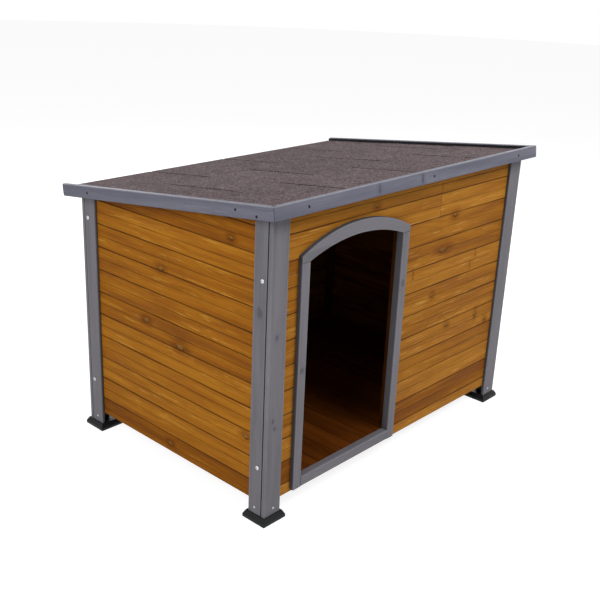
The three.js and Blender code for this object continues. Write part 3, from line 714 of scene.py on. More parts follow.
@dataclass(frozen=True)
class MineralFelt:
    """Bitumen shingles under mauve-grey mineral grit."""

    tones: tuple[Colour, ...] = (srgb(16, 9, 12), srgb(58, 44, 46), srgb(86, 71, 73),
                                 srgb(102, 88, 90), srgb(126, 112, 114))
    places: tuple[float, ...] = (0.16, 0.34, 0.5, 0.72, 0.92)
    # Colour of the bitumen between the grains, and of the painted shade on shingle edges, lips and
    # slots.
    bare_and_shade: Colour = srgb(40, 33, 35)
    grain_size: float = 0.002
    clouds: float = 14.0
    specular: float = 0.12

    def build(self, name: str, shared: SharedEffects) -> bpy.types.Material:
        """Makes the material.

        Args:
            name: The material's name.
            shared: The shared effects.

        Returns:
            The material.
        """
        felt = MaterialDraft(name)
        place = felt.attribute("grain")
        tone = felt.parts(felt.attribute("board"))[1]
        joint_and_shade = felt.parts(felt.attribute("marks"))[1]
        grit = felt.group(shared.grit, Place=place, Size=self.grain_size)
        mottle = felt.group(shared.mottle, Place=place, Scale=self.clouds)
        share = grit["Tone"] * 0.86 + mottle["Clouds"] * 0.08 + tone * 0.06
        colour = felt.ramp(share, tuple(zip(self.places, self.tones)))
        colour = felt.mix(grit["Bare"] * 0.6, colour, self.bare_and_shade)
        # Shingle edges, lips and slots are darkened: painted shade.
        colour = felt.mix(joint_and_shade, colour, self.bare_and_shade)
        return felt.finish(colour, grit["Tone"].spread(0, 1, 0.82, 0.98),
                           {SPECULAR: self.specular}, grit["Height"], (0.0007, 0.8))


@dataclass(frozen=True)
class BitumenSheet:
    """Black bitumen sheet with a dull sheen."""

    black: Colour = srgb(15, 14, 18)
    paler_tone: Colour = srgb(38, 36, 42)
    clouds: float = 22.0
    specular: float = 0.2

    def build(self, name: str, shared: SharedEffects) -> bpy.types.Material:
        """Makes the material.

        Args:
            name: The material's name.
            shared: The shared effects.

        Returns:
            The material.
        """
        sheet = MaterialDraft(name)
        place = sheet.attribute("grain")
        edge = sheet.parts(sheet.attribute("marks"))[0]
        mottle = sheet.group(shared.mottle, Place=place, Scale=self.clouds)
        wear_and_highlight = sheet.group(shared.edge_wear_and_highlight, Place=place, Edge=edge, Amount=0.6)
        colour = sheet.mix(mottle["Speckle"] * 0.4, self.black, self.paler_tone)
        colour = sheet.mix(wear_and_highlight["Mask"], colour, self.paler_tone)
        return sheet.finish(colour, mottle["Clouds"].spread(0, 1, 0.55, 0.78),
                            {SPECULAR: self.specular}, mottle["Speckle"], (0.0003, 0.5))


@dataclass(frozen=True)
class MouldedPlastic:
    """Black plastic from a fine-textured mould."""

    black: Colour = srgb(8, 9, 11)
    scuffed: Colour = srgb(40, 42, 45)
    dust: Colour = srgb(96, 94, 90)
    texture_size: float = 0.0009
    clouds: float = 30.0
    specular: float = 0.2

    def build(self, name: str, shared: SharedEffects) -> bpy.types.Material:
        """Makes the material.

        Args:
            name: The material's name.
            shared: The shared effects.

        Returns:
            The material.
        """
        plastic = MaterialDraft(name)
        place = plastic.house_place()
        grit = plastic.group(shared.grit, Place=place, Size=self.texture_size)
        mottle = plastic.group(shared.mottle, Place=place, Scale=self.clouds)
        dust = plastic.group(shared.dust, Place=place, Amount=0.08)
        colour = plastic.mix(mottle["Speckle"] * 0.16, self.black, self.scuffed)
        colour = plastic.mix(dust["Mask"], colour, self.dust)
        return plastic.finish(colour, mottle["Clouds"].spread(0, 1, 0.42, 0.56),
                              {SPECULAR: self.specular}, grit["Height"], (0.00008, 0.5))


@dataclass(frozen=True)
class ZincPlate:
    """Bright zinc-plated steel with a faint crystal pattern."""

    bright: Colour = srgb(226, 227, 231)
    dull: Colour = srgb(186, 188, 194)
    crystal_size: float = 0.004
    clouds: float = 120.0
    metallic: float = 0.7

    def build(self, name: str, shared: SharedEffects) -> bpy.types.Material:
        """Makes the material.

        Args:
            name: The material's name.
            shared: The shared effects.

        Returns:
            The material.
        """
        zinc = MaterialDraft(name)
        place = zinc.house_place()
        crystals = zinc.group(shared.grit, Place=place, Size=self.crystal_size)
        mottle = zinc.group(shared.mottle, Place=place, Scale=self.clouds)
        colour = zinc.mix(crystals["Tone"] * 0.5 + mottle["Clouds"] * 0.5, self.dull, self.bright)
        return zinc.finish(colour, mottle["Speckle"].spread(0, 1, 0.26, 0.42),
                           {"Metallic": self.metallic}, mottle["Speckle"], (0.00004, 0.4))


@dataclass(frozen=True)
class DarkSteel:
    """Near-black heads of driven nails."""

    black: Colour = srgb(7, 7, 9)
    paler_tone: Colour = srgb(24, 24, 28)
    clouds: float = 200.0
    specular: float = 0.15

    def build(self, name: str, shared: SharedEffects) -> bpy.types.Material:
        """Makes the material.

        Args:
            name: The material's name.
            shared: The shared effects.

        Returns:
            The material.
        """
        steel = MaterialDraft(name)
        mottle = steel.group(shared.mottle, Place=steel.house_place(), Scale=self.clouds)
        colour = steel.mix(mottle["Clouds"], self.black, self.paler_tone)
        return steel.finish(colour, mottle["Speckle"].spread(0, 1, 0.5, 0.7),
                            {SPECULAR: self.specular})


# ------------------------------------------------------------------ meshes


@dataclass(frozen=True)
class ProfilePoint:
    """A section corner: place, worn edge with painted highlight, dark joint with painted shade."""

    across: float
    depth: float
    edge: float = 0.0
    joint_and_shade: float = 0.0


@dataclass(frozen=True)
class Bend:
    """A section corner before easing, the painted shade beside it, and how much its arris is paled
    by use and by painted highlight.
    """

    across: float
    depth: float
    radius: float = 0.0
    arrive: float = 0.0
    leave: float = 0.0
    wear_and_highlight: float = 1.0


@dataclass(frozen=True)
class Station:
    """A section's place along a board, how it is shifted there, and where it is cut off."""

    along: float
    shift: float = 0.0
    inset: float = 0.0
    low: float = -math.inf
    high: float = math.inf
    joint_and_shade: float = 0.0


@dataclass(frozen=True)
class BoardFrame:
    """The directions of a board: along the grain, across its face, and into its thickness."""

    origin: Vector
    along: Vector
    across: Vector
    depth: Vector

    def place(self, along: float, across: float, depth: float) -> Vector:
        """The point at those distances from the origin."""
        return self.origin + self.along * along + self.across * across + self.depth * depth

    def hand(self) -> float:
        """1 where the section's own turn points along the board, or -1."""
        return math.copysign(1.0, self.across.cross(self.depth).dot(self.along))


@dataclass(frozen=True)
class Timber:
    """What makes one board look different from the next, and where its knots are read."""

    seed: float
    tone: float = 0.5
    grain_shift: float = 0.0


def eased_section(bends: Sequence[Bend], band: float = 0.0024,
                  steps: int = 3) -> list[ProfilePoint]:
    """A section with rounded corners, and a band beside each over which the edge's paleness, from
    use and from painted highlight, fades out.

    Args:
        bends: The corners in order.
        band: Width of the band beside a rounded corner.
        steps: Segments of a rounded corner.

    Returns:
        The points of the section.
    """
    points: list[ProfilePoint] = []
    count = len(bends)
    for index, bend in enumerate(bends):
        here = Vector((bend.across, bend.depth))
        if bend.radius <= 0:
            points.append(ProfilePoint(bend.across, bend.depth, 0.0, bend.leave))
            continue
        previous, following = bends[index - 1], bends[(index + 1) % count]
        before = Vector((previous.across, previous.depth)) - here
        after = Vector((following.across, following.depth)) - here
        in_way, out_way = before.normalized(), after.normalized()
        reach = bend.radius / math.tan(in_way.angle(out_way) / 2)
        start, stop = here + in_way * reach, here + out_way * reach
        if before.length > 2 * (reach + band):
            entry = here + in_way * (reach + band)
            points.append(ProfilePoint(entry.x, entry.y, 0.0, bend.arrive))
        for step in range(steps + 1):
            share = step / steps
            spot = start * (1 - share) ** 2 + here * (2 * share * (1 - share)) + stop * share ** 2
            joint_and_shade = bend.arrive + (bend.leave - bend.arrive) * share
            points.append(ProfilePoint(spot.x, spot.y, (1.0 - joint_and_shade) * bend.wear_and_highlight, joint_and_shade))
        if after.length > 2 * (reach + band):
            leave = here + out_way * (reach + band)
            points.append(ProfilePoint(leave.x, leave.y, 0.0, bend.leave))
    return points


def stations_between(start: float, end: float, step: float = 0.05, bow: float = 0.0,
                     chance: random.Random | None = None, inset: float = 0.0,
                     seam: float = 0.0, seam_width: float = 0.0013) -> list[Station]:
    """Sections along a board that bows a little.

    Args:
        start: Where the board starts.
        end: Where it ends.
        step: Longest distance between sections.
        bow: How far the board may bow.
        chance: Source of the bow's shape.
        inset: Size of the eased ends.
        seam: How dark the joints at its ends are.
        seam_width: Width of those dark joints.

    Returns:
        The sections in order.
    """
    phase = chance.uniform(0, math.tau) if chance else 0.0
    wave = chance.uniform(0.7, 1.6) if chance else 1.0
    count = max(1, math.ceil((end - start) / step))
    places = [start + (end - start) * index / count for index in range(count + 1)]
    room = inset or (seam_width if seam else 0.0)
    if room and end - start > 4 * room:
        places = [start, start + room, *places[1:-1], end - room, end]
    made = []
    for index, along in enumerate(places):
        at_end = index in (0, len(places) - 1)
        shift = bow * math.sin(phase + wave * math.tau * (along - start) / 0.9)
        made.append(Station(along, shift, inset if at_end else 0.0, joint_and_shade=seam if at_end else 0.0))
    return made


class MeshDraft:
    """A mesh in the making, with the grain, the board and the marks of every point."""

    def __init__(self) -> None:
        """Starts empty."""
        self.points: list[Vector] = []
        self.grain: list[Numbers] = []
        self.board: list[Numbers] = []
        self.marks: list[Numbers] = []
        self.faces: list[tuple[int, ...]] = []

    def add_point(self, place: Vector, grain: Numbers, board: Numbers = (0.5, 0.5, 0.0),
                  marks: Numbers = (0.0, 0.0, 0.0)) -> int:
        """Adds one point.

        Args:
            place: Where it is.
            grain: Along, across and deep in the grain.
            board: The board's seed and tone, and the distance from its middle line.
            marks: Its worn edge with painted highlight, dark joint with painted shade, and end.

        Returns:
            The point's number.
        """
        self.points.append(place)
        self.grain.append(grain)
        self.board.append(board)
        self.marks.append(marks)
        return len(self.points) - 1

    def add_face(self, corners: Sequence[int], turned: bool = False) -> None:
        """Adds a face, turned over if asked."""
        self.faces.append(tuple(reversed(corners)) if turned else tuple(corners))

    def sweep(self, board_frame: BoardFrame, section: Sequence[ProfilePoint],
              stations: Sequence[Station], timber: Timber, start_cut: Cut | None = None,
              end_cut: Cut | None = None) -> None:
        """Adds a board: a section carried along its stations, and closed at both ends.

        Args:
            board_frame: The board's directions.
            section: The section's points in order.
            stations: The sections along the board.
            timber: The board's own look.
            start_cut: How much later each point of the section starts.
            end_cut: How much sooner each point ends.
        """
        acrosses = [point.across for point in section]
        depths = [point.depth for point in section]
        middle = (min(acrosses) + max(acrosses)) / 2
        deep_middle = (min(depths) + max(depths)) / 2
        area = sum(a.across * b.depth - b.across * a.depth
                   for a, b in zip(section, [*section[1:], section[0]]))
        turned = area * board_frame.hand() < 0
        rings: list[list[int]] = []
        caps: list[list[int]] = []
        last = len(stations) - 1
        for index, station in enumerate(stations):
            ring, cap = [], []
            for point in section:
                across = min(max(point.across, station.low), station.high)
                depth = point.depth
                if station.inset:
                    across -= math.copysign(station.inset, across - middle)
                    depth -= math.copysign(station.inset, depth - deep_middle)
                along = station.along
                if index == 0 and start_cut:
                    along += start_cut(across, depth)
                if index == last and end_cut:
                    along -= end_cut(across, depth)
                spot = board_frame.place(along, across, depth + station.shift)
                grain = (along, across + timber.grain_shift, depth)
                board = (timber.seed, timber.tone, across - middle)
                ring.append(self.add_point(spot, grain, board, (
                    point.edge, max(point.joint_and_shade, station.joint_and_shade), 0.0)))
                if index in (0, last):
                    cap.append(self.add_point(spot, grain, board, (0.0, 0.0, 1.0)))
            rings.append(ring)
            if cap:
                caps.append(cap)
        self.join(rings, caps, turned)

    def join(self, rings: Sequence[Sequence[int]], caps: Sequence[Sequence[int]],
             turned: bool) -> None:
        """Joins each ring of points to the next one, and closes both ends.

        Args:
            rings: The rings in order.
            caps: The points of the two ends.
            turned: Whether the faces are turned over.
        """
        for near, far in zip(rings, rings[1:]):
            for index in range(len(near)):
                after = (index + 1) % len(near)
                self.add_face((near[index], near[after], far[after], far[index]), turned)
        self.add_face(caps[0], not turned)
        self.add_face(caps[1], turned)

    def build(self, name: str, material: bpy.types.Material, body: str, slot: str,
              replaced: Sequence[str] = (), sharp: float = 35.0) -> bpy.types.Object:
        """Makes the object, dresses it and hangs it on its body.

        Args:
            name: The piece's name.
            material: Its material.
            body: The body that it moves with.
            slot: Not used.
            replaced: The CAD nodes that it stands for.
            sharp: Angle in degrees from which an edge stays sharp.

        Returns:
            The object.
        """
        mesh = bpy.data.meshes.new(name)
        mesh.from_pydata([tuple(point) for point in self.points], [], self.faces)
        for label, rows in (("grain", self.grain), ("board", self.board), ("marks", self.marks)):
            layer = mesh.attributes.new(label, "FLOAT_VECTOR", "POINT")
            layer.data.foreach_set("vector", [number for row in rows for number in row])
        mesh.validate()
        mesh.shade_smooth()
        mesh.set_sharp_from_angle(angle=math.radians(sharp))
        mesh.materials.append(material)
        return settle(put_in_scene(name, mesh), body, slot, replaced)


def put_in_scene(name: str, data: bpy.types.ID) -> bpy.types.Object:
    """Makes an object of that name from its mesh, camera or lamp.

    Args:
        name: The object's name.
        data: What it shows.

    Returns:
        The object.
    """
    made = bpy.data.objects.new(name, data)
    bpy.context.scene.collection.objects.link(made)
    return made


def settle(made: bpy.types.Object, body: str, slot: str,
           replaced: Sequence[str] = ()) -> bpy.types.Object:
    """Hangs a piece on its body and hides the CAD nodes that it stands for.

    Args:
        made: The piece.
        body: The body that it moves with.
        slot: Not used.
        replaced: The CAD nodes that it stands for.

    Returns:
        The piece.
    """
    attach(made, body)
    if replaced:
        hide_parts(*replaced)
    log.info("built %s: %d faces", made.name, len(made.data.polygons))
    return made


# ------------------------------------------------------------------ the roof's own frame


@dataclass(frozen=True)
class RoofSlope:
    """The plane of the roof: its top edge at the front, and how it falls to the back."""

    pitch: float = math.radians(7.45)
    front: float = -0.37662
    top: float = 0.7833
    deck_under: float = -0.0212
    fit: float = 0.0003

    def back(self) -> Vector:
        """The direction down the slope."""
        return Vector((0, math.cos(self.pitch), -math.sin(self.pitch)))

    def up(self) -> Vector:
        """The direction square to the roof."""
        return Vector((0, math.sin(self.pitch), math.cos(self.pitch)))

    def origin(self) -> Vector:
        """The top edge of the front trim, in the middle."""
        return Vector((0, self.front, self.top))

    def frame(self, shift: Vector = Vector()) -> BoardFrame:
        """The directions of what lies across the roof, from its moved origin."""
        return BoardFrame(self.origin() + shift, RIGHT, self.back(), self.up())

    def under_deck(self, y: float) -> float:
        """The height that walls and rails are cut down to.

        Args:
            y: Place between front and back.

        Returns:
            The height, a little under the deck.
        """
        corner = self.origin() + self.up() * self.deck_under
        return corner.z - (y - corner.y) * math.tan(self.pitch) - self.fit


# ------------------------------------------------------------------ walls


@dataclass(frozen=True)
class PlankSizes:
    """A plank with a tongue along one edge, a slot along the other and a bead along its middle."""

    pitch: float = 0.0622
    thickness: float = 0.008
    gap: float = 0.0005
    ease: float = 0.0013
    joint_depth: float = 0.003
    tongue: float = 0.0032
    tongue_height: float = 0.0022
    bead_half: float = 0.0011
    bead_depth: float = 0.001
    fade: float = 0.0016
    bead_shade: float = 0.72
    inner_shade: float = 0.7
    beaded_from: float = 0.4

    def section(self, low: float, high: float) -> list[ProfilePoint]:
        """The section of a plank between two joints.

        Args:
            low: Its lower joint.
            high: Its upper joint.

        Returns:
            The section's points, from the lower edge of the face.
        """
        gap, bead, fade, ease, joint = (self.gap, self.bead_half, self.fade, self.ease,
                                        self.joint_depth)
        foot, head, back, shade = low + gap / 2, high - gap / 2, self.thickness, self.inner_shade
        inner, tongue = joint + self.tongue_height, head + self.tongue
        slot = foot + self.tongue + gap
        # Rows: across, depth, edge mark for a worn edge with painted highlight, and darkening for
        # dark joints and painted shade.
        rows = [(foot, ease, 0, 1), (foot + ease, 0, 0.4, 0.6), (foot + ease + fade, 0)]
        if high - low > self.beaded_from * self.pitch:
            middle = high - self.pitch / 2 if high - low < self.pitch else (low + high) / 2
            if middle - low > 4 * bead:
                rows += [(middle - bead - fade, 0), (middle - bead, 0, 0.3, 0.2),
                         (middle, self.bead_depth, 0, self.bead_shade),
                         (middle + bead, 0, 0.3, 0.2), (middle + bead + fade, 0)]
        rows += [(head - ease - fade, 0), (head - ease, 0, 0.4, 0.6), (head, ease, 0, 1),
                 (head, joint, 0, 1), (tongue, joint, 0, 1), (tongue, inner), (head, inner),
                 (head, back - gap, 0, shade), (head - gap, back, 0, shade),
                 (foot + gap, back, 0, shade), (foot, back - gap, 0, shade), (foot, inner + gap),
                 (slot, inner + gap), (slot, joint - gap / 2), (foot, joint - gap / 2, 0, 1)]
        return [ProfilePoint(*row) for row in rows]


@dataclass(frozen=True)
class Doorway:
    """The hole in the front wall behind the door frame."""

    middle: float = -0.2103
    half: float = 0.1778
    bottom: float = 0.0736
    arch_centre: float = 0.1903
    arch_radius: float = 0.4801
    side_top: float = 0.6364

    def top(self, x: float) -> float:
        """Height of the hole's top.

        Args:
            x: Place along the wall.

        Returns:
            The height, or the doorway's foot outside it.
        """
        away = abs(x - self.middle)
        if away >= self.half:
            return self.bottom
        return self.arch_centre + math.sqrt(self.arch_radius ** 2 - away ** 2)


class WallSide(Enum):
    """The four walls."""

    FRONT = "front"
    BACK = "back"
    LEFT = "left"
    RIGHT = "right"


SIDE_WALLS = (WallSide.LEFT, WallSide.RIGHT)


@dataclass
class PlankWall:
    """One wall of horizontal planks."""

    side: WallSide
    slope: RoofSlope
    material: bpy.types.Material
    first_joint: float
    tones: tuple[float, ...]
    doorway: Doorway | None = None
    butt_joints: tuple[tuple[int, float], ...] = ()
    planks: PlankSizes = PlankSizes()
    bow: float = 0.00012
    least_row: float = 0.01
    least_tip: float = 0.0015
    step: float = 0.05
    arch_step: float = 0.02
    seam: float = 0.9

    def board_frame(self) -> BoardFrame:
        """The wall's face, with the planks' length, the height and the thickness as directions."""
        low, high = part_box(f"{self.side.value}_planks")
        along, inwards, corner = {
            WallSide.FRONT: (RIGHT, BACK, low), WallSide.BACK: (RIGHT, -BACK, high),
            WallSide.LEFT: (BACK, RIGHT, low), WallSide.RIGHT: (BACK, -RIGHT, high)}[self.side]
        return BoardFrame(inwards * corner.dot(inwards), along, UP, inwards)

    def reach(self) -> tuple[float, float, float, float]:
        """Start, end, foot and top of the wall."""
        low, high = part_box(f"{self.side.value}_planks")
        if self.side in SIDE_WALLS:
            return low.y, high.y, low.z, high.z
        return low.x, high.x, low.z, high.z

    def rows(self) -> list[tuple[float, float]]:
        """Foot and top of each plank.

        Returns:
            The rows from the lowest.
        """
        _, _, foot, top = self.reach()
        joints, joint = [foot], self.first_joint
        while joint < top - self.least_row:
            joints.append(joint)
            joint += self.planks.pitch
        joints.append(max(joint, top) if self.side in SIDE_WALLS else top)
        return list(zip(joints, joints[1:]))

    def ceiling(self, along: float) -> float:
        """Height at which the planks end under the roof.

        Args:
            along: Place along the wall.

        Returns:
            The height.
        """
        if self.side in SIDE_WALLS:
            return self.slope.under_deck(along)
        return self.reach()[3]

    def spans(self, row: int, low: float, high: float) -> list[tuple[float, float, float]]:
        """The lengths of one row of planks, parted by the doorway and by butt joints.

        Args:
            row: The row's number.
            low: Its foot.
            high: Its top.

        Returns:
            Start, end and greatest height of each length.
        """
        start, end, _, _ = self.reach()
        if self.side in SIDE_WALLS:
            room = self.slope.under_deck(start) - low - self.least_tip
            end = min(end, start + room / math.tan(self.slope.pitch))
        marks = [start, *(place for at, place in self.butt_joints if at == row), end]
        made = [(a, b, math.inf) for a, b in zip(marks, marks[1:])]
        door = self.doorway
        if not door:
            return made
        left, right = door.middle - door.half, door.middle + door.half
        parted = []
        for a, b, top in made:
            if not a < left < b or low > door.side_top:
                parted.append((a, b, top))
            elif high <= door.bottom + self.least_row:
                parted += [(a, left, top), (left, right, door.bottom), (right, b, top)]
            else:
                parted += [(a, left, top), (right, b, top)]
        return parted

    def build(self) -> bpy.types.Object:
        """Builds the wall.

        Returns:
            The wall.
        """
        draft = MeshDraft()
        chance = random.Random(f"planks {self.side.value}")
        for row, (low, high) in enumerate(self.rows()):
            section = self.planks.section(low, high)
            tone = self.tones[row % len(self.tones)]
            seat = chance.uniform(0, 0.00022)
            for start, end, top in self.spans(row, low, high):
                timber = Timber(chance.random(), tone + chance.uniform(-0.06, 0.06))
                at_arch = self.doorway and low > self.doorway.side_top
                stations = [
                    Station(s.along, seat + s.shift, 0.0, self.foot_at(s.along, low),
                            min(top, self.ceiling(s.along)), s.joint_and_shade)
                    for s in stations_between(start, end, self.arch_step if at_arch else self.step,
                                              self.bow, chance, seam=self.seam)]
                draft.sweep(self.board_frame(), section, stations, timber)
        return draft.build(f"{self.side.value}_wall_planks", self.material, HOUSE, "honey_wood",
                           [f"{self.side.value}_planks"])

    def foot_at(self, along: float, low: float) -> float:
        """The foot of a plank, which the arch of the doorway may cut.

        Args:
            along: Place along the wall.
            low: The plank's own foot.

        Returns:
            The height that the plank starts from there.
        """
        door = self.doorway
        if not door or low < door.side_top or low > door.arch_centre + door.arch_radius:
            return -math.inf
        return door.top(along) if door.top(along) > low else -math.inf


# ------------------------------------------------------------------ grey boards


@dataclass(frozen=True)
class Corner:
    """One corner of the house."""

    end: str
    side: str

    def name(self) -> str:
        """The corner's name in the part."""
        return f"{self.end}_{self.side}"

    def across(self) -> Vector:
        """From the side face inwards."""
        return RIGHT if self.side == "left" else -RIGHT

    def deep(self) -> Vector:
        """From the front or back face inwards."""
        return BACK if self.end == "front" else -BACK

    def outer(self, height: float = 0.0) -> Vector:
        """The place at that height where the two outer faces meet."""
        low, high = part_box(f"{self.name()}_end_board")
        return Vector((low.x if self.side == "left" else high.x,
                       low.y if self.end == "front" else high.y, height))


CORNERS = tuple(Corner(end, side) for end in ("front", "back") for side in ("left", "right"))


@dataclass
class CornerPosts:
    """Two boards at each corner, rebated over the ends of the planks."""

    slope: RoofSlope
    front: bpy.types.Material
    rest: bpy.types.Material
    width: float = 0.0536
    side_width: float = 0.0545
    thickness: float = 0.0111
    fit: float = 0.0003
    rebate_from: float = 0.0364
    rebate_depth: float = 0.008
    easing: float = 0.0026
    seam: float = 0.0013
    turn: float = 0.0036
    shade: float = 0.66
    foot: float = 0.0063

    def board(self, corner: Corner, part: str) -> None:
        """Builds one board of a corner.

        Args:
            corner: The corner.
            part: "end" for the board on the front or back face, or "side" for the other one,
                which butts against it.
        """
        name = f"{corner.name()}_{part}"
        origin, e, t, shade = corner.outer(), self.easing, self.thickness, self.shade
        at_end, back, front = part == "end", self.rebate_depth, self.rebate_from
        if at_end:
            ways, width = (corner.across(), corner.deep()), self.width
            outer = (Bend(0, 0, e), Bend(width, 0, e, 0, shade))
            last = Bend(0, t, e, 1.0, 0)
        else:
            ways, width = (corner.deep(), corner.across()), self.side_width
            start = t + self.fit + self.seam
            outer = (Bend(start, 0, e / 2, 1.0, 0), Bend(width, 0, self.turn, 0, shade))
            last = Bend(start, t, 0.001, 0, 1.0)
        section = eased_section([*outer, Bend(width, back, 0.0006, shade, shade),
                                 Bend(front, back), Bend(front, t, 0.0005), last])
        fall = corner.deep().y * math.tan(self.slope.pitch)
        chance = random.Random(f"{corner.name()} {0 if at_end else 1}")
        timber = Timber(chance.random(), chance.uniform(0.3, 0.7), 0.0 if at_end else 0.1)
        draft = MeshDraft()
        draft.sweep(BoardFrame(origin, UP, *ways), section,
                    stations_between(self.foot, self.slope.under_deck(origin.y)), timber,
                    end_cut=lambda across, depth: fall * (depth if at_end else across))
        draft.build(f"{name}_stile", self.front if corner == CORNERS[0] else self.rest, HOUSE,
                    "grey_paint", [f"{name}_board"])

    def build(self) -> None:
        """Builds the boards of all four corners."""
        for corner in CORNERS:
            self.board(corner, "end")
            self.board(corner, "side")


@dataclass
class BackRail:
    """The grey rail across the top of the back wall, which the hinges are screwed to."""

    slope: RoofSlope
    material: bpy.types.Material
    rebate_depth: float = 0.008
    lap: float = 0.017
    easing: float = 0.0026
    shade: float = 0.6

    def build(self) -> None:
        """Builds the rail."""
        low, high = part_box("back_rail")
        board_frame = BoardFrame(Vector((0, high.y, 0)), RIGHT, UP, -BACK)
        e, thick = self.easing, high.y - low.y
        rise = thick * math.tan(self.slope.pitch)
        face_top = high.z - rise
        section = eased_section([
            Bend(low.z, 0, e, self.shade, 0), Bend(face_top, 0, 0.0012),
            Bend(high.z, thick, 0.0008), Bend(low.z + self.lap, thick, 0.0004),
            Bend(low.z + self.lap, self.rebate_depth),
            Bend(low.z, self.rebate_depth, 0.0006, self.shade, self.shade)])
        draft = MeshDraft()
        draft.sweep(board_frame, section, stations_between(low.x, high.x, seam=0.8),
                    Timber(0.37, 0.5))
        draft.build("back_top_rail_board", self.material, HOUSE, "grey_paint", ["back_rail"])


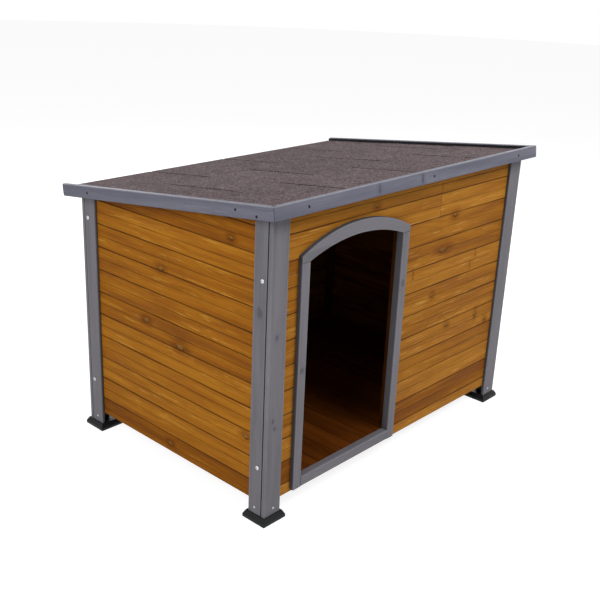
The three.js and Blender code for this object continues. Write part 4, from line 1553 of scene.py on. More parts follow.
@dataclass
class DoorFrame:
    """Two jambs, a sill and an arched head, each with a lip over the cut plank ends."""

    material: bpy.types.Material
    doorway: Doorway = Doorway()
    fit: float = 0.0003
    steps: int = 28
    lip: float = 0.008
    easing: float = 0.002
    join: float = 0.0004
    inner_half: float = 0.1695
    inner_centre: float = 0.1903
    inner_radius: float = 0.4718
    outer_half: float = 0.1965
    outer_centre: float = 0.2725
    outer_radius: float = 0.4223
    lining_depth: float = 0.0195
    outer_shade: float = 0.7
    inner_shade: float = 0.38
    seam: float = 0.85

    def plank_face(self) -> float:
        """Y of the front wall's face, less the fitting gap."""
        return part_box("front_planks")[0].y - self.fit

    def jamb(self, side: str) -> None:
        """Builds one jamb.

        Args:
            side: "left" or "right".
        """
        low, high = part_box(f"door_{side}_jamb")
        sill_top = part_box("door_sill")[1].z
        board_frame = BoardFrame(Vector((0, low.y, 0)), UP, RIGHT, BACK)
        e, deep, dark = self.easing, self.plank_face() - low.y, self.inner_shade
        on_left = side == "left"
        left, right = (self.outer_shade, dark) if on_left else (dark, self.outer_shade)
        face = eased_section([
            Bend(low.x, 0, e, left, 0), Bend(high.x, 0, e, 0, right),
            Bend(high.x, deep, 0.0004, right, right), Bend(low.x, deep, 0.0004, left, left)])
        a, b = (high.x - self.lip, high.x) if on_left else (low.x, low.x + self.lip)
        lining = eased_section([
            Bend(a, deep - self.join, 0, dark, dark), Bend(b, deep - self.join, 0, dark, dark),
            Bend(b, self.lining_depth, 0.0006, dark, dark),
            Bend(a, self.lining_depth, 0.0006, dark, dark)])
        timber = Timber(0.21 if on_left else 0.83, 0.62)
        draft = MeshDraft()
        draft.sweep(board_frame, face, stations_between(low.z, high.z, seam=self.seam), timber)
        draft.sweep(board_frame, lining, stations_between(sill_top - self.lip, high.z), timber)
        draft.build(f"door_{side}_upright", self.material, HOUSE, "grey_paint",
                    [f"door_{side}_jamb"])

    def sill(self) -> None:
        """Builds the sill."""
        low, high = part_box("door_sill")
        board_frame = BoardFrame(Vector((0, low.y, 0)), RIGHT, UP, BACK)
        e, deep = self.easing, self.plank_face() - low.y
        foot, inside = high.z - self.lip, self.lining_depth
        # The lower arris and the underside are darkened and get no pale edge: painted shade under
        # the sill.
        face = eased_section([Bend(low.z, 0, e, 0.6, 0, 0.0), Bend(high.z, 0, e),
                              Bend(high.z, deep), Bend(low.z, deep, 0, 0.6, 0.6)])
        lining = eased_section([Bend(foot, deep - self.join), Bend(high.z, deep - self.join),
                                Bend(high.z, inside, 0.0008), Bend(foot, inside, 0.0006)])
        draft = MeshDraft()
        for section in (face, lining):
            draft.sweep(board_frame, section, stations_between(low.x, high.x, seam=self.seam),
                        Timber(0.58, 0.4))
        draft.build("door_sill_board", self.material, HOUSE, "grey_paint", ["door_sill"])

    def curve(self, centre: float, radius: float, half: float, share: float) -> Vector:
        """A point of an arc over the doorway.

        Args:
            centre: Height of the arc's centre.
            radius: Its radius.
            half: Half its span.
            share: Place along it, 0 at the left end and 1 at the right.

        Returns:
            The point's x and z.
        """
        angle = math.asin(half / radius) * (2 * share - 1)
        return Vector((self.doorway.middle + radius * math.sin(angle),
                       centre + radius * math.cos(angle)))

    def head(self) -> None:
        """Builds the arched head, which is cut from one straight-grained board."""
        low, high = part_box("door_arch")
        steps = self.steps
        deep = self.plank_face() - low.y
        springing = low.z
        outline = [(self.inner_point(0.0), Vector((low.x, springing))),
                   (self.inner_point(0.004), Vector((low.x, springing + self.join * 3)))]
        for index in range(steps + 1):
            share = index / steps
            outline.append((self.inner_point((index + 0.6) / (steps + 1.2)), self.curve(
                self.outer_centre, self.outer_radius, self.outer_half, share)))
        outline.append((self.inner_point(0.996), Vector((high.x, springing + self.join * 3))))
        outline.append((self.inner_point(1.0), Vector((high.x, springing))))
        draft = MeshDraft()
        self.arc_bar(draft, outline, low.y, (0.0, deep), (self.inner_shade, self.outer_shade))
        lining = []
        for index in range(steps + 1):
            share = index / steps
            inner = self.inner_point(share)
            outer = self.curve(self.inner_centre, self.inner_radius + self.lip,
                               self.inner_half + self.lip, share)
            outer.y = max(outer.y, springing)
            lining.append((inner, outer))
        self.arc_bar(draft, lining, low.y, (deep - self.join, self.lining_depth),
                     (self.inner_shade, self.inner_shade))
        draft.build("door_arched_head", self.material, HOUSE, "grey_paint", ["door_arch"])

    def inner_point(self, share: float) -> Vector:
        """A point of the clear arch, by its share of the span."""
        return self.curve(self.inner_centre, self.inner_radius, self.inner_half, share)

    def arc_bar(self, draft: MeshDraft, outline: Sequence[tuple[Vector, Vector]], face_y: float,
                deeps: tuple[float, float], shades: tuple[float, float]) -> None:
        """Adds a bent bar between an inner and an outer line.

        Args:
            draft: The mesh to add it to.
            outline: Inner and outer points in x and z, from left to right.
            face_y: Y that the depths are measured from.
            deeps: Front and back of the bar.
            shades: How dark its inner and its outer side are.
        """
        near, far = deeps
        inside, outside = shades
        e = self.easing if near == 0 else 0.0004
        rings, caps = [], []
        for index, (inner, outer) in enumerate(outline):
            width = (outer - inner).length
            way = (outer - inner) / width
            section = eased_section([
                Bend(0, near, e, inside, 0), Bend(width, near, e, 0, outside),
                Bend(width, far, 0.0004, outside, outside), Bend(0, far, 0.0004, inside, inside)])
            at_end = index in (0, len(outline) - 1)
            seam = self.seam if at_end else 0.0
            ring, cap = [], []
            for point in section:
                spot = inner + way * point.across
                place = Vector((spot.x, face_y + point.depth, spot.y))
                grain = (spot.x, spot.y, point.depth)
                board = (0.44, 0.66, spot.y - 0.66)
                marks = (point.edge, max(point.joint_and_shade, seam), 0.0)
                ring.append(draft.add_point(place, grain, board, marks))
                if at_end:
                    cap.append(draft.add_point(place, grain, board, (0.0, 0.0, 1.0)))
            rings.append(ring)
            if cap:
                caps.append(cap)
        draft.join(rings, caps, True)

    def build(self) -> None:
        """Builds the whole frame."""
        self.jamb("left")
        self.jamb("right")
        self.sill()
        self.head()


# ------------------------------------------------------------------ roof


@dataclass
class RoofTrims:
    """Three grey strips round the roof, mitred at the front corners."""

    slope: RoofSlope
    material: bpy.types.Material
    half: float = 0.5265
    length: float = 0.76395
    height: float = 0.0328
    thickness: float = 0.012
    easing: float = 0.0026
    chamfer: float = 0.005
    fit: float = 0.0003
    corner: float = 0.006
    top_shade: float = 0.25
    nail_room: float = 0.00025
    seam: float = 0.8

    def section(self) -> list[ProfilePoint]:
        """The strip's section, from its outer face inwards."""
        e, face = self.easing, self.nail_room
        inside, top = self.thickness, -self.fit
        # The lower arrises are darkened and get no pale edge: painted shade under the strip.
        return eased_section([
            Bend(-self.height, face, e, 0.4, 0, 0.0), *self.ladder(face, 1),
            Bend(top, face, e / 2, 0, self.top_shade), Bend(top, inside, e / 2, self.top_shade, 0),
            *self.ladder(inside, -1), Bend(-self.height, inside, e, 0.4, 0.4, 0.0)])

    def ladder(self, depth: float, way: int) -> list[Bend]:
        """Extra points near both arrises of a face, so that its end can be rounded.

        Args:
            depth: Depth of the face.
            way: 1 from the lower arris to the upper, or -1.

        Returns:
            The points in order.
        """
        near = (0.0035, 0.0055, 0.008)
        rungs = [place - self.height for place in near] + [-place for place in reversed(near)]
        return [Bend(across, depth) for across in rungs[::way]]

    def rounding(self, across: float) -> float:
        """How far the free end of a side strip is cut back by its rounded corners.

        Args:
            across: Place between the strip's lower and upper arris.

        Returns:
            The length that is cut off there.
        """
        corner = self.corner
        to_arris = min(-across, self.height + across)
        inward = max(0.0, corner - max(0.0, to_arris))
        lower = max(0.0, self.chamfer - self.height - across)
        return max(lower, corner - math.sqrt(max(0.0, corner ** 2 - inward ** 2)))

    def build(self) -> None:
        """Builds the three strips."""
        origin = self.slope.origin()
        gap = self.fit * math.sqrt(2)
        front = MeshDraft()
        front.sweep(
            BoardFrame(origin, RIGHT, self.slope.up(), self.slope.back()),
            self.section(), stations_between(-self.half + gap, self.half - gap, seam=self.seam),
            Timber(0.13, 0.6), start_cut=lambda across, depth: depth,
            end_cut=lambda across, depth: depth)
        front.build("roof_front_strip", self.material, ROOF, "trim_paint", ["roof_front_trim"])
        for side, out in (("left", -1), ("right", 1)):
            strip = MeshDraft()
            edge = origin + Vector((out * self.half, 0, 0))
            strip.sweep(
                BoardFrame(edge, self.slope.back(), self.slope.up(), Vector((-out, 0, 0))),
                self.section(), stations_between(0, self.length, seam=self.seam),
                Timber(0.71 if out < 0 else 0.29, 0.5), start_cut=lambda across, depth: depth,
                end_cut=lambda across, depth: self.rounding(across))
            strip.build(f"roof_{side}_strip", self.material, ROOF, "trim_paint",
                        [f"roof_{side}_trim"])


@dataclass
class RoofDeck:
    """The planks under the felt, grooved faces down."""

    slope: RoofSlope
    material: bpy.types.Material
    front: float = 0.0123
    length: float = 0.76395
    rows: int = 12
    planks: PlankSizes = PlankSizes()

    def build(self) -> None:
        """Builds the deck."""
        low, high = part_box("roof_deck")
        board_frame = self.slope.frame(self.slope.up() * self.slope.deck_under)
        pitch = (self.length - self.front) / self.rows
        chance = random.Random("deck")
        draft = MeshDraft()
        for row in range(self.rows):
            start = self.front + row * pitch
            section = self.planks.section(start, start + pitch)
            stations = [Station(s.along, s.shift, 0.0, self.front, self.length)
                        for s in stations_between(low.x, high.x, 0.08)]
            draft.sweep(board_frame, section, stations,
                        Timber(chance.random(), chance.uniform(0.25, 0.75)))
        draft.build("roof_deck_planks", self.material, ROOF, "honey_wood", ["roof_deck"])


@dataclass
class RoofFelt:
    """The black underlay, turned up inside the trims, and three courses of shingles on it."""

    slope: RoofSlope
    sheet: bpy.types.Material
    grit: bpy.types.Material
    length: float = 0.76395
    front: float = 0.0126
    half: float = 0.5139
    surface: float = -0.0088
    underlay_low: float = -0.0129
    underlay_top: float = -0.0117
    upstand_top: float = -0.0018
    upstand: float = 0.002
    step: float = 0.0012
    courses: int = 3
    tab: float = 0.272
    slot: float = 0.006
    slot_depth: float = 0.0018
    head_lap: float = 0.012
    edge_room: float = 0.045
    lip: float = 0.0025
    lip_shade: float = 0.7
    fit: float = 0.0003
    sag: float = 0.0003
    column: float = 0.009
    rows: int = 22
    thickness: float = 0.0024

    def underlay(self) -> None:
        """Builds the underlay with its turned-up edges."""
        chance = random.Random("underlay")
        draft = MeshDraft()
        low, high, top = self.underlay_low, self.underlay_top, self.upstand_top
        flat = [ProfilePoint(self.front, low), ProfilePoint(self.length, low),
                ProfilePoint(self.length, high), ProfilePoint(self.front, high)]
        draft.sweep(self.slope.frame(), flat, stations_between(-self.half, self.half), Timber(0.5))
        fold = eased_section([Bend(0, low), Bend(self.upstand, low),
                              Bend(self.upstand, top, 0.0007), Bend(0, top, 0.0007)], 0.001)
        origin, back, up = self.slope.origin(), self.slope.back(), self.slope.up()
        edge, inner = RIGHT * self.half, self.half - self.upstand
        runs = [(BoardFrame(origin - edge, back, RIGHT, up), self.front, self.length),
                (BoardFrame(origin + edge, back, -RIGHT, up), self.front, self.length),
                (self.slope.frame(back * self.front), -inner, inner)]
        for board_frame, start, end in runs:
            stations = stations_between(start, end, 0.012)
            sagged = [Station(s.along, min(0.0, -self.sag + chance.uniform(-self.sag, self.sag)))
                      for s in stations]
            draft.sweep(board_frame, fold, sagged, Timber(chance.random()))
        draft.build("felt_underlay_sheet", self.sheet, ROOF, "bitumen", ["felt_underlay"])

    def tabs(self, course: int) -> list[tuple[float, float]]:
        """Sides of each shingle of a course.

        Args:
            course: The course's number, from the front.

        Returns:
            Left and right side of each.
        """
        half = self.half - self.upstand - self.fit
        first = -half + self.tab * (1 if course % 2 == 0 else 0.5)
        slots = []
        while first < half - self.edge_room:
            slots.append(first)
            first += self.tab
        sides = [-half, *slots, half]
        room = self.slot / 2
        return [(a + (room if a > -half else 0), b - (room if b < half else 0))
                for a, b in zip(sides, sides[1:])]

    def shingles(self) -> None:
        """Builds the shingles as thin slabs with slightly lifted, uneven lower edges."""
        start = self.front + self.upstand + self.fit
        exposure = (self.length - start) / self.courses
        draft = MeshDraft()
        chance = random.Random("shingles")
        for course in range(self.courses):
            ends = (start + course * exposure, start + (course + 1) * exposure)
            for sides in self.tabs(course):
                self.slab(draft, chance, sides, ends)
            self.bed(draft, ends)
        draft.build("roof_shingle_courses", self.grit, ROOF, "mineral_felt", ["roof_shingles"],
                    sharp=50)

    def height(self, share: float) -> float:
        """Height of a course's surface by the share of its run.

        Args:
            share: 0 at its head and 1 at its lower edge.

        Returns:
            The height in the roof's frame.
        """
        return self.surface - self.step * (1 - share)

    def slab(self, draft: MeshDraft, chance: random.Random, sides: tuple[float, float],
             ends: tuple[float, float]) -> None:
        """Adds one shingle.

        Args:
            draft: The mesh to add it to.
            chance: Source of its unevenness.
            sides: Its left and right side.
            ends: Its head and its lower edge.
        """
        (left, right), (head, foot) = sides, ends
        columns, rows = max(8, round((right - left) / self.column)), self.rows
        board = (chance.random(), chance.random(), 0.0)
        jitter = [chance.uniform(-0.0005, 0.0) for _ in range(columns + 1)]
        dips = [[chance.uniform(-0.00018, 0.0) for _ in range(columns + 1)]
                for _ in range(rows + 1)]
        origin, back, up = self.slope.origin(), self.slope.back(), self.slope.up()

        def spot(column: int, row: int) -> tuple[Vector, Numbers]:
            """A point of the surface, and its place in the grit."""
            share = row / rows
            x = left + (right - left) * column / columns
            if 0 < column < columns:
                side = 0.0
            else:
                side = chance.uniform(0.0, 0.0004) * (1 if column == 0 else -1)
            run = foot - self.lip if row == rows - 1 else head + (foot - head) * share
            if row == rows:
                run += jitter[column]
            height = self.height(share) + dips[row][column]
            place = origin + back * run + up * height
            place.x = x + side
            return place, (x, run, height)

        grid = [[draft.add_point(*spot(column, row), board,
                                 (0.0, self.lip_shade if row == rows else 0.0, 0.0))
                 for column in range(columns + 1)] for row in range(rows + 1)]
        for near, far in zip(grid, grid[1:]):
            for column in range(columns):
                draft.add_face((near[column], near[column + 1], far[column + 1], far[column]), True)
        rim = [*grid[0], *(line[-1] for line in grid[1:]), *reversed(grid[-1][:-1]),
               *(line[0] for line in reversed(grid[1:-1]))]
        upper, lower = [], []
        for point in rim:
            place, (x, run, height) = draft.points[point], draft.grain[point]
            fall = min(max(0.0, height - self.underlay_top - self.fit), self.thickness)
            # The slab's upper rim is darkened a little and its lower rim more: painted shade on the
            # shingle's edges.
            upper.append(draft.add_point(place.copy(), (x, run, height), board, (0.0, 0.15, 0.0)))
            lower.append(draft.add_point(place - up * fall, (x, run, height - self.thickness),
                                         board, (0.0, 0.55, 0.0)))
        for index in range(len(rim)):
            after = (index + 1) % len(rim)
            draft.add_face((upper[index], lower[index], lower[after], upper[after]), True)

    def bed(self, draft: MeshDraft, ends: tuple[float, float]) -> None:
        """Adds the sheet under a course, which shows in its slots.

        Args:
            draft: The mesh to add it to.
            ends: Its head and its lower edge.
        """
        head, foot = ends
        half, under = self.half - self.upstand - self.fit, self.underlay_top + self.fit
        tops = [(head, self.height(0) - 0.0004), (head + self.head_lap, self.height(0) - 0.0005),
                (head + self.head_lap + 0.001, self.height(0.05) - self.slot_depth),
                (foot - self.step, self.surface - self.slot_depth)]
        # The sheet showing in the slots is darkened: painted shade in the recess.
        section = [ProfilePoint(run, up, joint_and_shade=0.2) for run, up in tops]
        section += [ProfilePoint(foot - self.step, under), ProfilePoint(head, under)]
        draft.sweep(self.slope.frame(), section, stations_between(-half, half, 0.1),
                    Timber(0.5, 0.3))


# ------------------------------------------------------------------ fasteners


class RecessKind(Enum):
    """The recess in a screw's head."""

    NONE = "none"
    CROSS = "cross"


@dataclass
class Fastener:
    """A round head, whose half section is given as radii and heights from the rim inwards."""

    rim: tuple[tuple[float, float], ...]
    recess: RecessKind = RecessKind.NONE
    recess_arm: float = 0.0027
    recess_half: float = 0.00062
    recess_depth: float = 0.0017
    sides: int = 28

    def build(self, name: str, place: Vector, normal: Vector, material: bpy.types.Material,
              body: str, replaced: Sequence[str] = ()) -> bpy.types.Object:
        """Builds one head.

        Args:
            name: The piece's name.
            place: Point of the surface in the middle of the head.
            normal: The way out of the surface.
            material: Its material.
            body: The body that it moves with.
            replaced: The CAD nodes that it stands for.

        Returns:
            The head.
        """
        count = self.sides
        turns = [math.tau * index / count for index in range(count)]
        points = [(radius * math.cos(angle), radius * math.sin(angle), up)
                  for radius, up in self.rim for angle in turns]
        last = (len(self.rim) - 1) * count
        faces = [(ring + index, ring + (index + 1) % count, ring + count + (index + 1) % count,
                  ring + count + index) for ring in range(0, last, count) for index in range(count)]
        faces += [tuple(range(last, last + count)), tuple(reversed(range(count)))]
        mesh = bpy.data.meshes.new(name)
        mesh.from_pydata(points, [], faces)
        mesh.validate()
        mesh.materials.append(material)
        made = put_in_scene(name, mesh)
        if self.recess is RecessKind.CROSS:
            self.cut_cross(made)
        turn = UP.rotation_difference(normal)
        spin = random.Random(name).uniform(0, math.tau)
        mesh = made.data
        mesh.transform(Matrix.Translation(place) @ turn.to_matrix().to_4x4()
                       @ Matrix.Rotation(spin, 4, "Z"))
        mesh.shade_smooth()
        mesh.set_sharp_from_angle(angle=math.radians(30))
        return settle(made, body, "zinc", replaced)

    def cut_cross(self, made: bpy.types.Object) -> None:
        """Cuts a cross recess, which narrows to its floor, into a head.

        Args:
            made: The head, still upright at the origin.
        """
        top, arm, half = self.rim[-1][1], self.recess_arm, self.recess_half
        outline = [(arm, -half), (arm, half), (half, half), (half, arm), (-half, arm),
                   (-half, half), (-arm, half), (-arm, -half), (-half, -half), (-half, -arm),
                   (half, -arm), (half, -half)]
        count = len(outline)
        points = [(x * share, y * share, up) for share, up in (
            (0.75, top - self.recess_depth), (1.06, top + 0.001)) for x, y in outline]
        faces = [tuple(reversed(range(count))), tuple(range(count, 2 * count))]
        faces += [(i, (i + 1) % count, count + (i + 1) % count, count + i) for i in range(count)]
        mesh = bpy.data.meshes.new("recess")
        mesh.from_pydata(points, [], faces)
        cutter = put_in_scene("recess", mesh)
        cut = made.modifiers.new("recess", "BOOLEAN")
        cut.operation = "DIFFERENCE"
        cut.solver = "EXACT"
        cut.object = cutter
        seen = made.evaluated_get(bpy.context.evaluated_depsgraph_get())
        carved = bpy.data.meshes.new_from_object(seen)
        made.modifiers.clear()
        made.data = carved
        bpy.data.objects.remove(cutter)


def dome(radius: float, height: float, rim: float,
         steps: int = 7) -> tuple[tuple[float, float], ...]:
    """The half section of a domed head.

    Args:
        radius: Its radius.
        height: Height of its middle.
        rim: Height of its upright rim.
        steps: Rings of the dome.

    Returns:
        Radii and heights.
    """
    rings = [(radius * 0.94, -0.0004), (radius, 0.0), (radius, rim)]
    for step in range(1, steps):
        angle = step / steps * math.pi / 2
        rings.append((radius * math.cos(angle * 0.93), rim + (height - rim) * math.sin(angle)))
    return tuple(rings)


@dataclass
class Fasteners:
    """Screws of the corners and hinges, and the nails of the roof trims."""

    slope: RoofSlope
    zinc: bpy.types.Material
    nail_steel: bpy.types.Material
    panel_head: Fastener = field(default_factory=lambda: Fastener(
        dome(0.005, 0.0026, 0.0011), RecessKind.CROSS))
    foot_head: Fastener = field(default_factory=lambda: Fastener(
        dome(0.0027, 0.0007, 0.0002, 4), RecessKind.CROSS, 0.0013, 0.0003, 0.0006))
    hinge_head: Fastener = field(default_factory=lambda: Fastener(
        dome(0.0032, 0.001, 0.0006, 4), RecessKind.CROSS, 0.0018, 0.0004, 0.0008))
    nail_head: Fastener = field(default_factory=lambda: Fastener(dome(0.0033, 0.0002, 0.0001, 4)))
    foot_inset: float = 0.033
    foot_height: float = 0.0345
    face_inset: float = 0.03
    side_face: float = 0.5
    nail_room: float = 0.00025
    trim_half: float = 0.5265
    side_nails: tuple[tuple[float, float], ...] = ((0.052, 0.025), (0.115, 0.015), (0.657, 0.018))
    front_nails: tuple[float, ...] = (0.106, 0.56, 0.958)
    front_nail_drop: float = 0.017
    leaf_face: float = 0.0016
    leaf_sink: float = 0.0011
    leaf_holes: tuple[tuple[float, float], ...] = ((-0.025, 0.02016), (0.0, 0.0112),
                                                   (0.025, 0.02016))

    def panel_screws(self) -> None:
        """Builds the screws that hold the side boards."""
        for corner in CORNERS:
            for level in ("lower", "upper"):
                node = f"{corner.name()}_{level}_screw"
                low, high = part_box(node)
                out = -corner.across()
                place = Vector((out.x * self.side_face, (low.y + high.y) / 2, (low.z + high.z) / 2))
                self.panel_head.build(f"{node}_head", place, out, self.zinc, HOUSE, [node])

    def foot_screws(self) -> None:
        """Builds the small screws just above the feet."""
        for corner in CORNERS:
            outer, across, deep = corner.outer(self.foot_height), corner.across(), corner.deep()
            for part, place, out in (("end", outer + across * self.face_inset, -deep),
                                     ("side", outer + deep * self.foot_inset, -across)):
                self.foot_head.build(f"{corner.name()}_foot_screw_{part}", place, out, self.zinc,
                                     HOUSE)

    def hinge_screws(self) -> None:
        """Builds the sunk screws of the hinges' leaves."""
        for side in ("left", "right"):
            low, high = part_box(f"hinge_{side}_pin")
            leaf_low, leaf_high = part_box(f"hinge_{side}_wall_leaf")
            pin = Vector(((leaf_low.x + leaf_high.x) / 2, (low.y + high.y) / 2,
                          (low.z + high.z) / 2))
            leaves = (("wall", HOUSE, -UP, BACK),
                      ("roof", ROOF, self.slope.back(), -self.slope.up()))
            for leaf, body, along, out in leaves:
                seat = pin - out * (self.leaf_face + self.leaf_sink)
                for index, (across, reach) in enumerate(self.leaf_holes):
                    place = seat + along * reach + RIGHT * across
                    self.hinge_head.build(f"hinge_{side}_{leaf}_screw_{index + 1}", place, out,
                                          self.zinc, body)

    def trim_nails(self) -> None:
        """Builds the nails of the roof trims."""
        origin, back, up = self.slope.origin(), self.slope.back(), self.slope.up()
        for side, out in (("left", -1), ("right", 1)):
            edge = origin + RIGHT * out * (self.trim_half - self.nail_room)
            for index, (run, drop) in enumerate(self.side_nails):
                self.nail_head.build(f"roof_{side}_nail_{index + 1}", edge + back * run - up * drop,
                                     RIGHT * out, self.nail_steel, ROOF)
        edge = origin + back * self.nail_room - up * self.front_nail_drop
        for index, along in enumerate(self.front_nails):
            place = edge + RIGHT * (along - self.trim_half)
            self.nail_head.build(f"roof_front_nail_{index + 1}", place, -back, self.nail_steel,
                                 ROOF)


# ------------------------------------------------------------------ pieces kept from the CAD part


def keep_node(name: str, material: bpy.types.Material, bevel: float) -> None:
    """Dresses a CAD node that stays, and eases its edges.

    Args:
        name: The node's name.
        material: Its material.
        bevel: Width of the eased edges.
    """
    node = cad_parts[name]
    node.data.materials.clear()
    node.data.materials.append(material)
    if bevel:
        ease = node.modifiers.new("ease", "BEVEL")
        ease.width = bevel
        ease.segments = 2
        ease.limit_method = "ANGLE"
        ease.angle_limit = math.radians(50)
    log.info("kept %s", name)


@dataclass
class InnerFrame:
    """Battens, rails, studs, bearers and rafters, which the house keeps out of sight."""

    bevel: float = 0.0008

    def runs(self) -> dict[str, GrainSource]:
        """The run of the grain in each piece."""
        found = {f"{corner.name()}_corner_batten": GrainSource.ALONG_Z for corner in CORNERS}
        for side in ("left", "right"):
            found[f"{side}_top_rail"] = GrainSource.ALONG_Y
            found[f"door_{side}_stud"] = GrainSource.ALONG_Z
            found[f"floor_bearer_{side}"] = GrainSource.ALONG_Y
        for name in ("front_top_rail", "floor_bearer_front", "floor_bearer_back",
                     "floor_bearer_middle"):
            found[name] = GrainSource.ALONG_X
        for name in ("roof_rafter_1", "roof_rafter_2"):
            found[name] = GrainSource.ALONG_Y
        return found

    def build(self, finish: StainedWood, shared: SharedEffects) -> None:
        """Dresses every piece.

        Args:
            finish: The wood.
            shared: The shared effects.
        """
        for index, (name, source) in enumerate(self.runs().items()):
            low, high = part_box(name)
            middle = (low + high) / 2
            across = middle.z if source is GrainSource.ALONG_X else middle.x
            lay = Lay(source, seed=0.07 + 0.61 * index, tone=0.3 + 0.4 * ((index * 7) % 5) / 4,
                      start=across)
            material = finish.build(f"wood_{name}", shared, lay, scattered=0.15)
            keep_node(name, material, self.bevel)


@dataclass
class CabinFloor:
    """Three floor panels of boards that run from front to back."""

    boards: int = 5

    def build(self, finish: StainedWood, shared: SharedEffects) -> None:
        """Dresses the panels.

        Args:
            finish: The wood.
            shared: The shared effects.
        """
        for index in (1, 2, 3):
            name = f"floor_panel_{index}"
            low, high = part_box(name)
            lay = Lay(GrainSource.ALONG_Y, seed=3.0 * index, start=low.x,
                      board=(high.x - low.x) / self.boards)
            keep_node(name, finish.build(f"wood_{name}", shared, lay, scattered=0.12), 0.0)


# ------------------------------------------------------------------ studio


@dataclass(frozen=True)
class Lamp:
    """A round soft lamp that looks at the house."""

    name: str
    place: Numbers
    size: float
    power: float


@dataclass
class Studio:
    """The camera, the pale floor and the soft light."""

    camera_place: Numbers = (-1.82175, -1.62870, 1.27104)
    camera_right: Numbers = (0.68098, -0.73117, 0.04063)
    camera_up: Numbers = (0.23476, 0.27053, 0.93365)
    camera_forward: Numbers = (0.69365, 0.62626, -0.35587)
    lens: float = 55.26
    sensor: float = 36.0
    clip: tuple[float, float] = (0.05, 60.0)
    sky: float = 0.28
    white: Colour = (1.0, 1.0, 1.0, 1.0)
    pale: Colour = (0.86, 0.86, 0.86, 1.0)
    shaded: Colour = (0.34, 0.34, 0.34, 1.0)
    floor_glow: float = 0.86
    floor_radius: float = 14.0
    floor_sides: int = 64
    aim: Numbers = (0.0, 0.0, 0.35)
    lamps: tuple[Lamp, ...] = (
        Lamp("key_lamp", (0.4, -2.3, 3.05), 1.6, 72.0),
        Lamp("left_lamp", (-3.1, -0.5, 2.3), 2.2, 61.0),
        Lamp("side_lamp", (3.1, 0.3, 1.6), 2.4, 54.0),
        Lamp("back_lamp", (0.6, 3.2, 1.6), 2.4, 66.0))

    def build(self) -> None:
        """Builds everything that isn't part of the house."""
        self.add_camera()
        self.add_world()
        self.add_floor()
        self.add_lamps()
        bpy.context.scene.view_settings.view_transform = "Standard"
        log.info("built the studio")

    def add_camera(self) -> None:
        """Puts the camera where the photograph was taken from."""
        data = bpy.data.cameras.new("camera")
        data.sensor_width, data.lens = self.sensor, self.lens
        data.clip_start, data.clip_end = self.clip
        camera = put_in_scene("camera", data)
        columns = (self.camera_right, self.camera_up, tuple(-n for n in self.camera_forward))
        turn = Matrix(columns).transposed().to_4x4()
        camera.matrix_world = Matrix.Translation(self.camera_place) @ turn
        bpy.context.scene.camera = camera

    @staticmethod
    def seen_or(sheet: NodeSheet, unseen: Wire, seen: Wire) -> Wire:
        """One shader for rays that see the backdrop, also in gloss or glass, or else another.

        Args:
            sheet: The nodes to add to.
            unseen: Shader for the light that falls on the house.
            seen: Shader for what is seen.

        Returns:
            The two mixed.
        """
        path = sheet.wires("ShaderNodeLightPath")
        share = sheet.math("MAXIMUM", path["Is Camera Ray"], path["Is Glossy Ray"])
        share = sheet.math("MAXIMUM", share, path["Is Transmission Ray"])
        return sheet.wire("ShaderNodeMixShader", (share, unseen, seen))

    def add_world(self) -> None:
        """Lights the scene evenly and shows white behind it."""
        world = bpy.data.worlds.new("sky")
        world.use_nodes = True
        world.node_tree.nodes.clear()
        sheet = NodeSheet(world.node_tree)
        light = sheet.wire("ShaderNodeBackground", (self.white, self.sky))
        white = sheet.wire("ShaderNodeBackground", (self.white, 1.0))
        sheet.node("ShaderNodeOutputWorld", {"Surface": self.seen_or(sheet, light, white)})
        bpy.context.scene.world = world

    def add_floor(self) -> None:
        """Lays a plain pale floor that keeps the house's shadow."""
        turns = [math.tau * index / self.floor_sides for index in range(self.floor_sides)]
        ring = [(self.floor_radius * math.cos(turn), self.floor_radius * math.sin(turn), 0.0)
                for turn in turns]
        mesh = bpy.data.meshes.new("studio_floor")
        mesh.from_pydata(ring, [], [tuple(range(self.floor_sides))])
        draft = MaterialDraft("pale_floor")
        matte = draft.wire("ShaderNodeBsdfDiffuse", (self.pale,))
        shaded = draft.wire("ShaderNodeBsdfDiffuse", (self.shaded,))
        glow = draft.wire("ShaderNodeEmission", (self.white, self.floor_glow))
        seen = draft.wire("ShaderNodeAddShader", (shaded, glow))
        draft.node("ShaderNodeOutputMaterial", {"Surface": self.seen_or(draft, matte, seen)})
        mesh.materials.append(draft.material)
        put_in_scene("studio_floor", mesh)

    def add_lamps(self) -> None:
        """Hangs the soft lamps round the house."""
        for made in self.lamps:
            data = bpy.data.lights.new(made.name, "AREA")
            data.shape, data.size, data.energy = "DISK", made.size, made.power
            lamp = put_in_scene(made.name, data)
            lamp.location = made.place
            lamp.rotation_mode = "QUATERNION"
            aim = Vector(self.aim) - Vector(made.place)
            lamp.rotation_quaternion = aim.to_track_quat("-Z", "Y")


# ------------------------------------------------------------------ the house


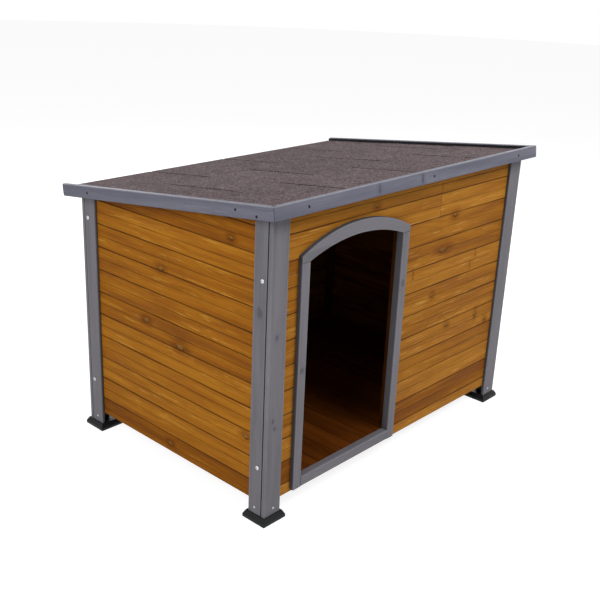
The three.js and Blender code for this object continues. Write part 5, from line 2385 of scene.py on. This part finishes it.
@dataclass(frozen=True)
class KnotPlan:
    """Where the larger knots sit, by wall or board."""

    left_wall: tuple[Knot, ...] = (
        Knot(-0.0413, 0.3533, 0.0085), Knot(0.0887, 0.3863, 0.006), Knot(0.0287, 0.5383, 0.006),
        Knot(-0.2763, 0.2033, 0.006), Knot(-0.2163, 0.6733, 0.0045), Knot(-0.0013, 0.0703, 0.005))
    front_wall: tuple[Knot, ...] = (
        Knot(-0.140, 0.7133, 0.0045), Knot(0.200, 0.6333, 0.006),
        Knot(0.0308, 0.5008, 0.0145, 0.42, KnotKind.SPIKE),
        Knot(0.3218, 0.5008, 0.0145, 0.36, KnotKind.SPIKE),
        Knot(0.2988, 0.4693, 0.0145, 0.34, KnotKind.SPIKE),
        Knot(0.1284, 0.7150, 0.0145, 0.2, KnotKind.SPIKE),
        Knot(0.158, 0.5438, 0.006, 2.6), Knot(0.1271, 0.4208, 0.005, 1.2),
        Knot(0.2121, 0.3143, 0.0045), Knot(0.3565, 0.3094, 0.009, 0.5),
        Knot(0.4131, 0.2802, 0.006, 0.9))
    front_corner: tuple[Knot, ...] = (
        Knot(0.528, 0.134, 0.008, 1.5), Knot(0.473, 0.024, 0.0045, 1.3),
        Knot(0.268, 0.020, 0.004, 1.4), Knot(0.248, 0.026, 0.004, 1.2))
    trims: tuple[Knot, ...] = (Knot(-0.181, -0.016, 0.010, 0.45), Knot(-0.014, -0.014, 0.012, 0.4))
    door: tuple[Knot, ...] = (Knot(0.496, -0.026, 0.006, 1.4), Knot(0.368, -0.392, 0.006, 1.2))


def main() -> None:
    """Builds the house from its walls to its fasteners, then the studio round it."""
    logging.basicConfig(level=logging.INFO, format="%(name)s: %(message)s")
    shared = SharedEffects()
    slope = RoofSlope()
    plan = KnotPlan()
    stain = StainedWood()
    # A paler copy of the stain for the front wall: painted light on that wall.
    front_lit_stain = StainedWood(dark=srgb(120, 68, 15), middle=srgb(157, 101, 29),
                             light=srgb(182, 125, 45), yellow=srgb(216, 166, 87))
    # A darker copy of the stain for the floor inside: painted shade for the dim cabin.
    inside = StainedWood(dark=srgb(66, 31, 5), middle=srgb(91, 45, 9), light=srgb(112, 61, 14),
                         yellow=srgb(128, 75, 20))
    # A much darker copy of the stain for the inner frame: painted shade for pieces inside the
    # cabin.
    shaded_hidden_stain = StainedWood(dark=srgb(44, 22, 7), middle=srgb(58, 31, 10), light=srgb(72, 41, 14),
                         yellow=srgb(84, 50, 18))

    left = stain.build("stained_left", shared, knots=plan.left_wall, scattered=0.03)
    PlankWall(WallSide.LEFT, slope, left, 0.0962,
              (0.12, 0.62, 0.76, 0.64, 0.68, 0.4, 0.46, 0.56, 0.5, 0.66, 0.36, 0.5)).build()
    front = front_lit_stain.build("stained_front", shared, knots=plan.front_wall, scattered=0.03)
    # The last tone is raised to offset the shade under the roof's front strip: painted light on the
    # top plank.
    PlankWall(WallSide.FRONT, slope, front, 0.0783,
              (0.78, 0.08, 0.72, 0.5, 0.66, 0.56, 0.48, 0.66, 0.46, 0.4, 0.76, 0.72),
              Doorway(), ((10, 0.128),)).build()
    right = stain.build("stained_right", shared, scattered=0.16)
    PlankWall(WallSide.RIGHT, slope, right, 0.0962,
              (0.55, 0.35, 0.7, 0.5, 0.62, 0.42, 0.66, 0.3, 0.6, 0.52, 0.44, 0.6)).build()
    back = stain.build("stained_back", shared, scattered=0.16)
    PlankWall(WallSide.BACK, slope, back, 0.0783,
              (0.6, 0.44, 0.7, 0.38, 0.58, 0.64, 0.5, 0.3, 0.66, 0.54)).build()

    grey = PaintedWood()
    grey_rest = grey.build("grey_paint", shared, scattered=0.14)
    grey_front = grey.build("grey_paint_front", shared, plan.front_corner, 0.03)
    CornerPosts(slope, grey_front, grey_rest).build()
    BackRail(slope, grey_rest).build()
    DoorFrame(grey.build("grey_paint_door", shared, plan.door, 0.03)).build()
    # The strips' arrises get a strong pale line: mostly a painted highlight, partly worn paint.
    trim = PaintedWood(coat=srgb(98, 98, 111), shade=srgb(84, 85, 98), pale=srgb(111, 111, 122),
                       paler_tone=srgb(156, 155, 163), knot=srgb(58, 60, 76), wear_and_highlight=0.7)
    RoofTrims(slope, trim.build("trim_paint", shared, plan.trims, 0.03)).build()

    RoofDeck(slope, stain.build("stained_deck", shared, scattered=0.16)).build()
    felt = RoofFelt(slope, BitumenSheet().build("bitumen", shared),
                    MineralFelt().build("mineral_grit", shared))
    felt.underlay()
    felt.shingles()

    InnerFrame().build(shaded_hidden_stain, shared)
    CabinFloor().build(inside, shared)

    fasteners = Fasteners(slope, ZincPlate().build("zinc", shared),
                          DarkSteel().build("nail_black", shared))
    fasteners.panel_screws()
    fasteners.foot_screws()
    fasteners.hinge_screws()
    fasteners.trim_nails()
    dull_zinc = ZincPlate(bright=srgb(158, 160, 165), dull=srgb(118, 120, 127), metallic=0.6)
    hinge_zinc = dull_zinc.build("hinge_zinc", shared)
    for side in ("left", "right"):
        for leaf in ("wall_leaf", "roof_leaf", "pin"):
            keep_node(f"hinge_{side}_{leaf}", hinge_zinc, 0.0002)

    plastic = MouldedPlastic().build("black_plastic", shared)
    for corner in CORNERS:
        keep_node(f"foot_{corner.name()}", plastic, 0.0008)

    Studio().build()


if __name__ == "__main__":
    main()
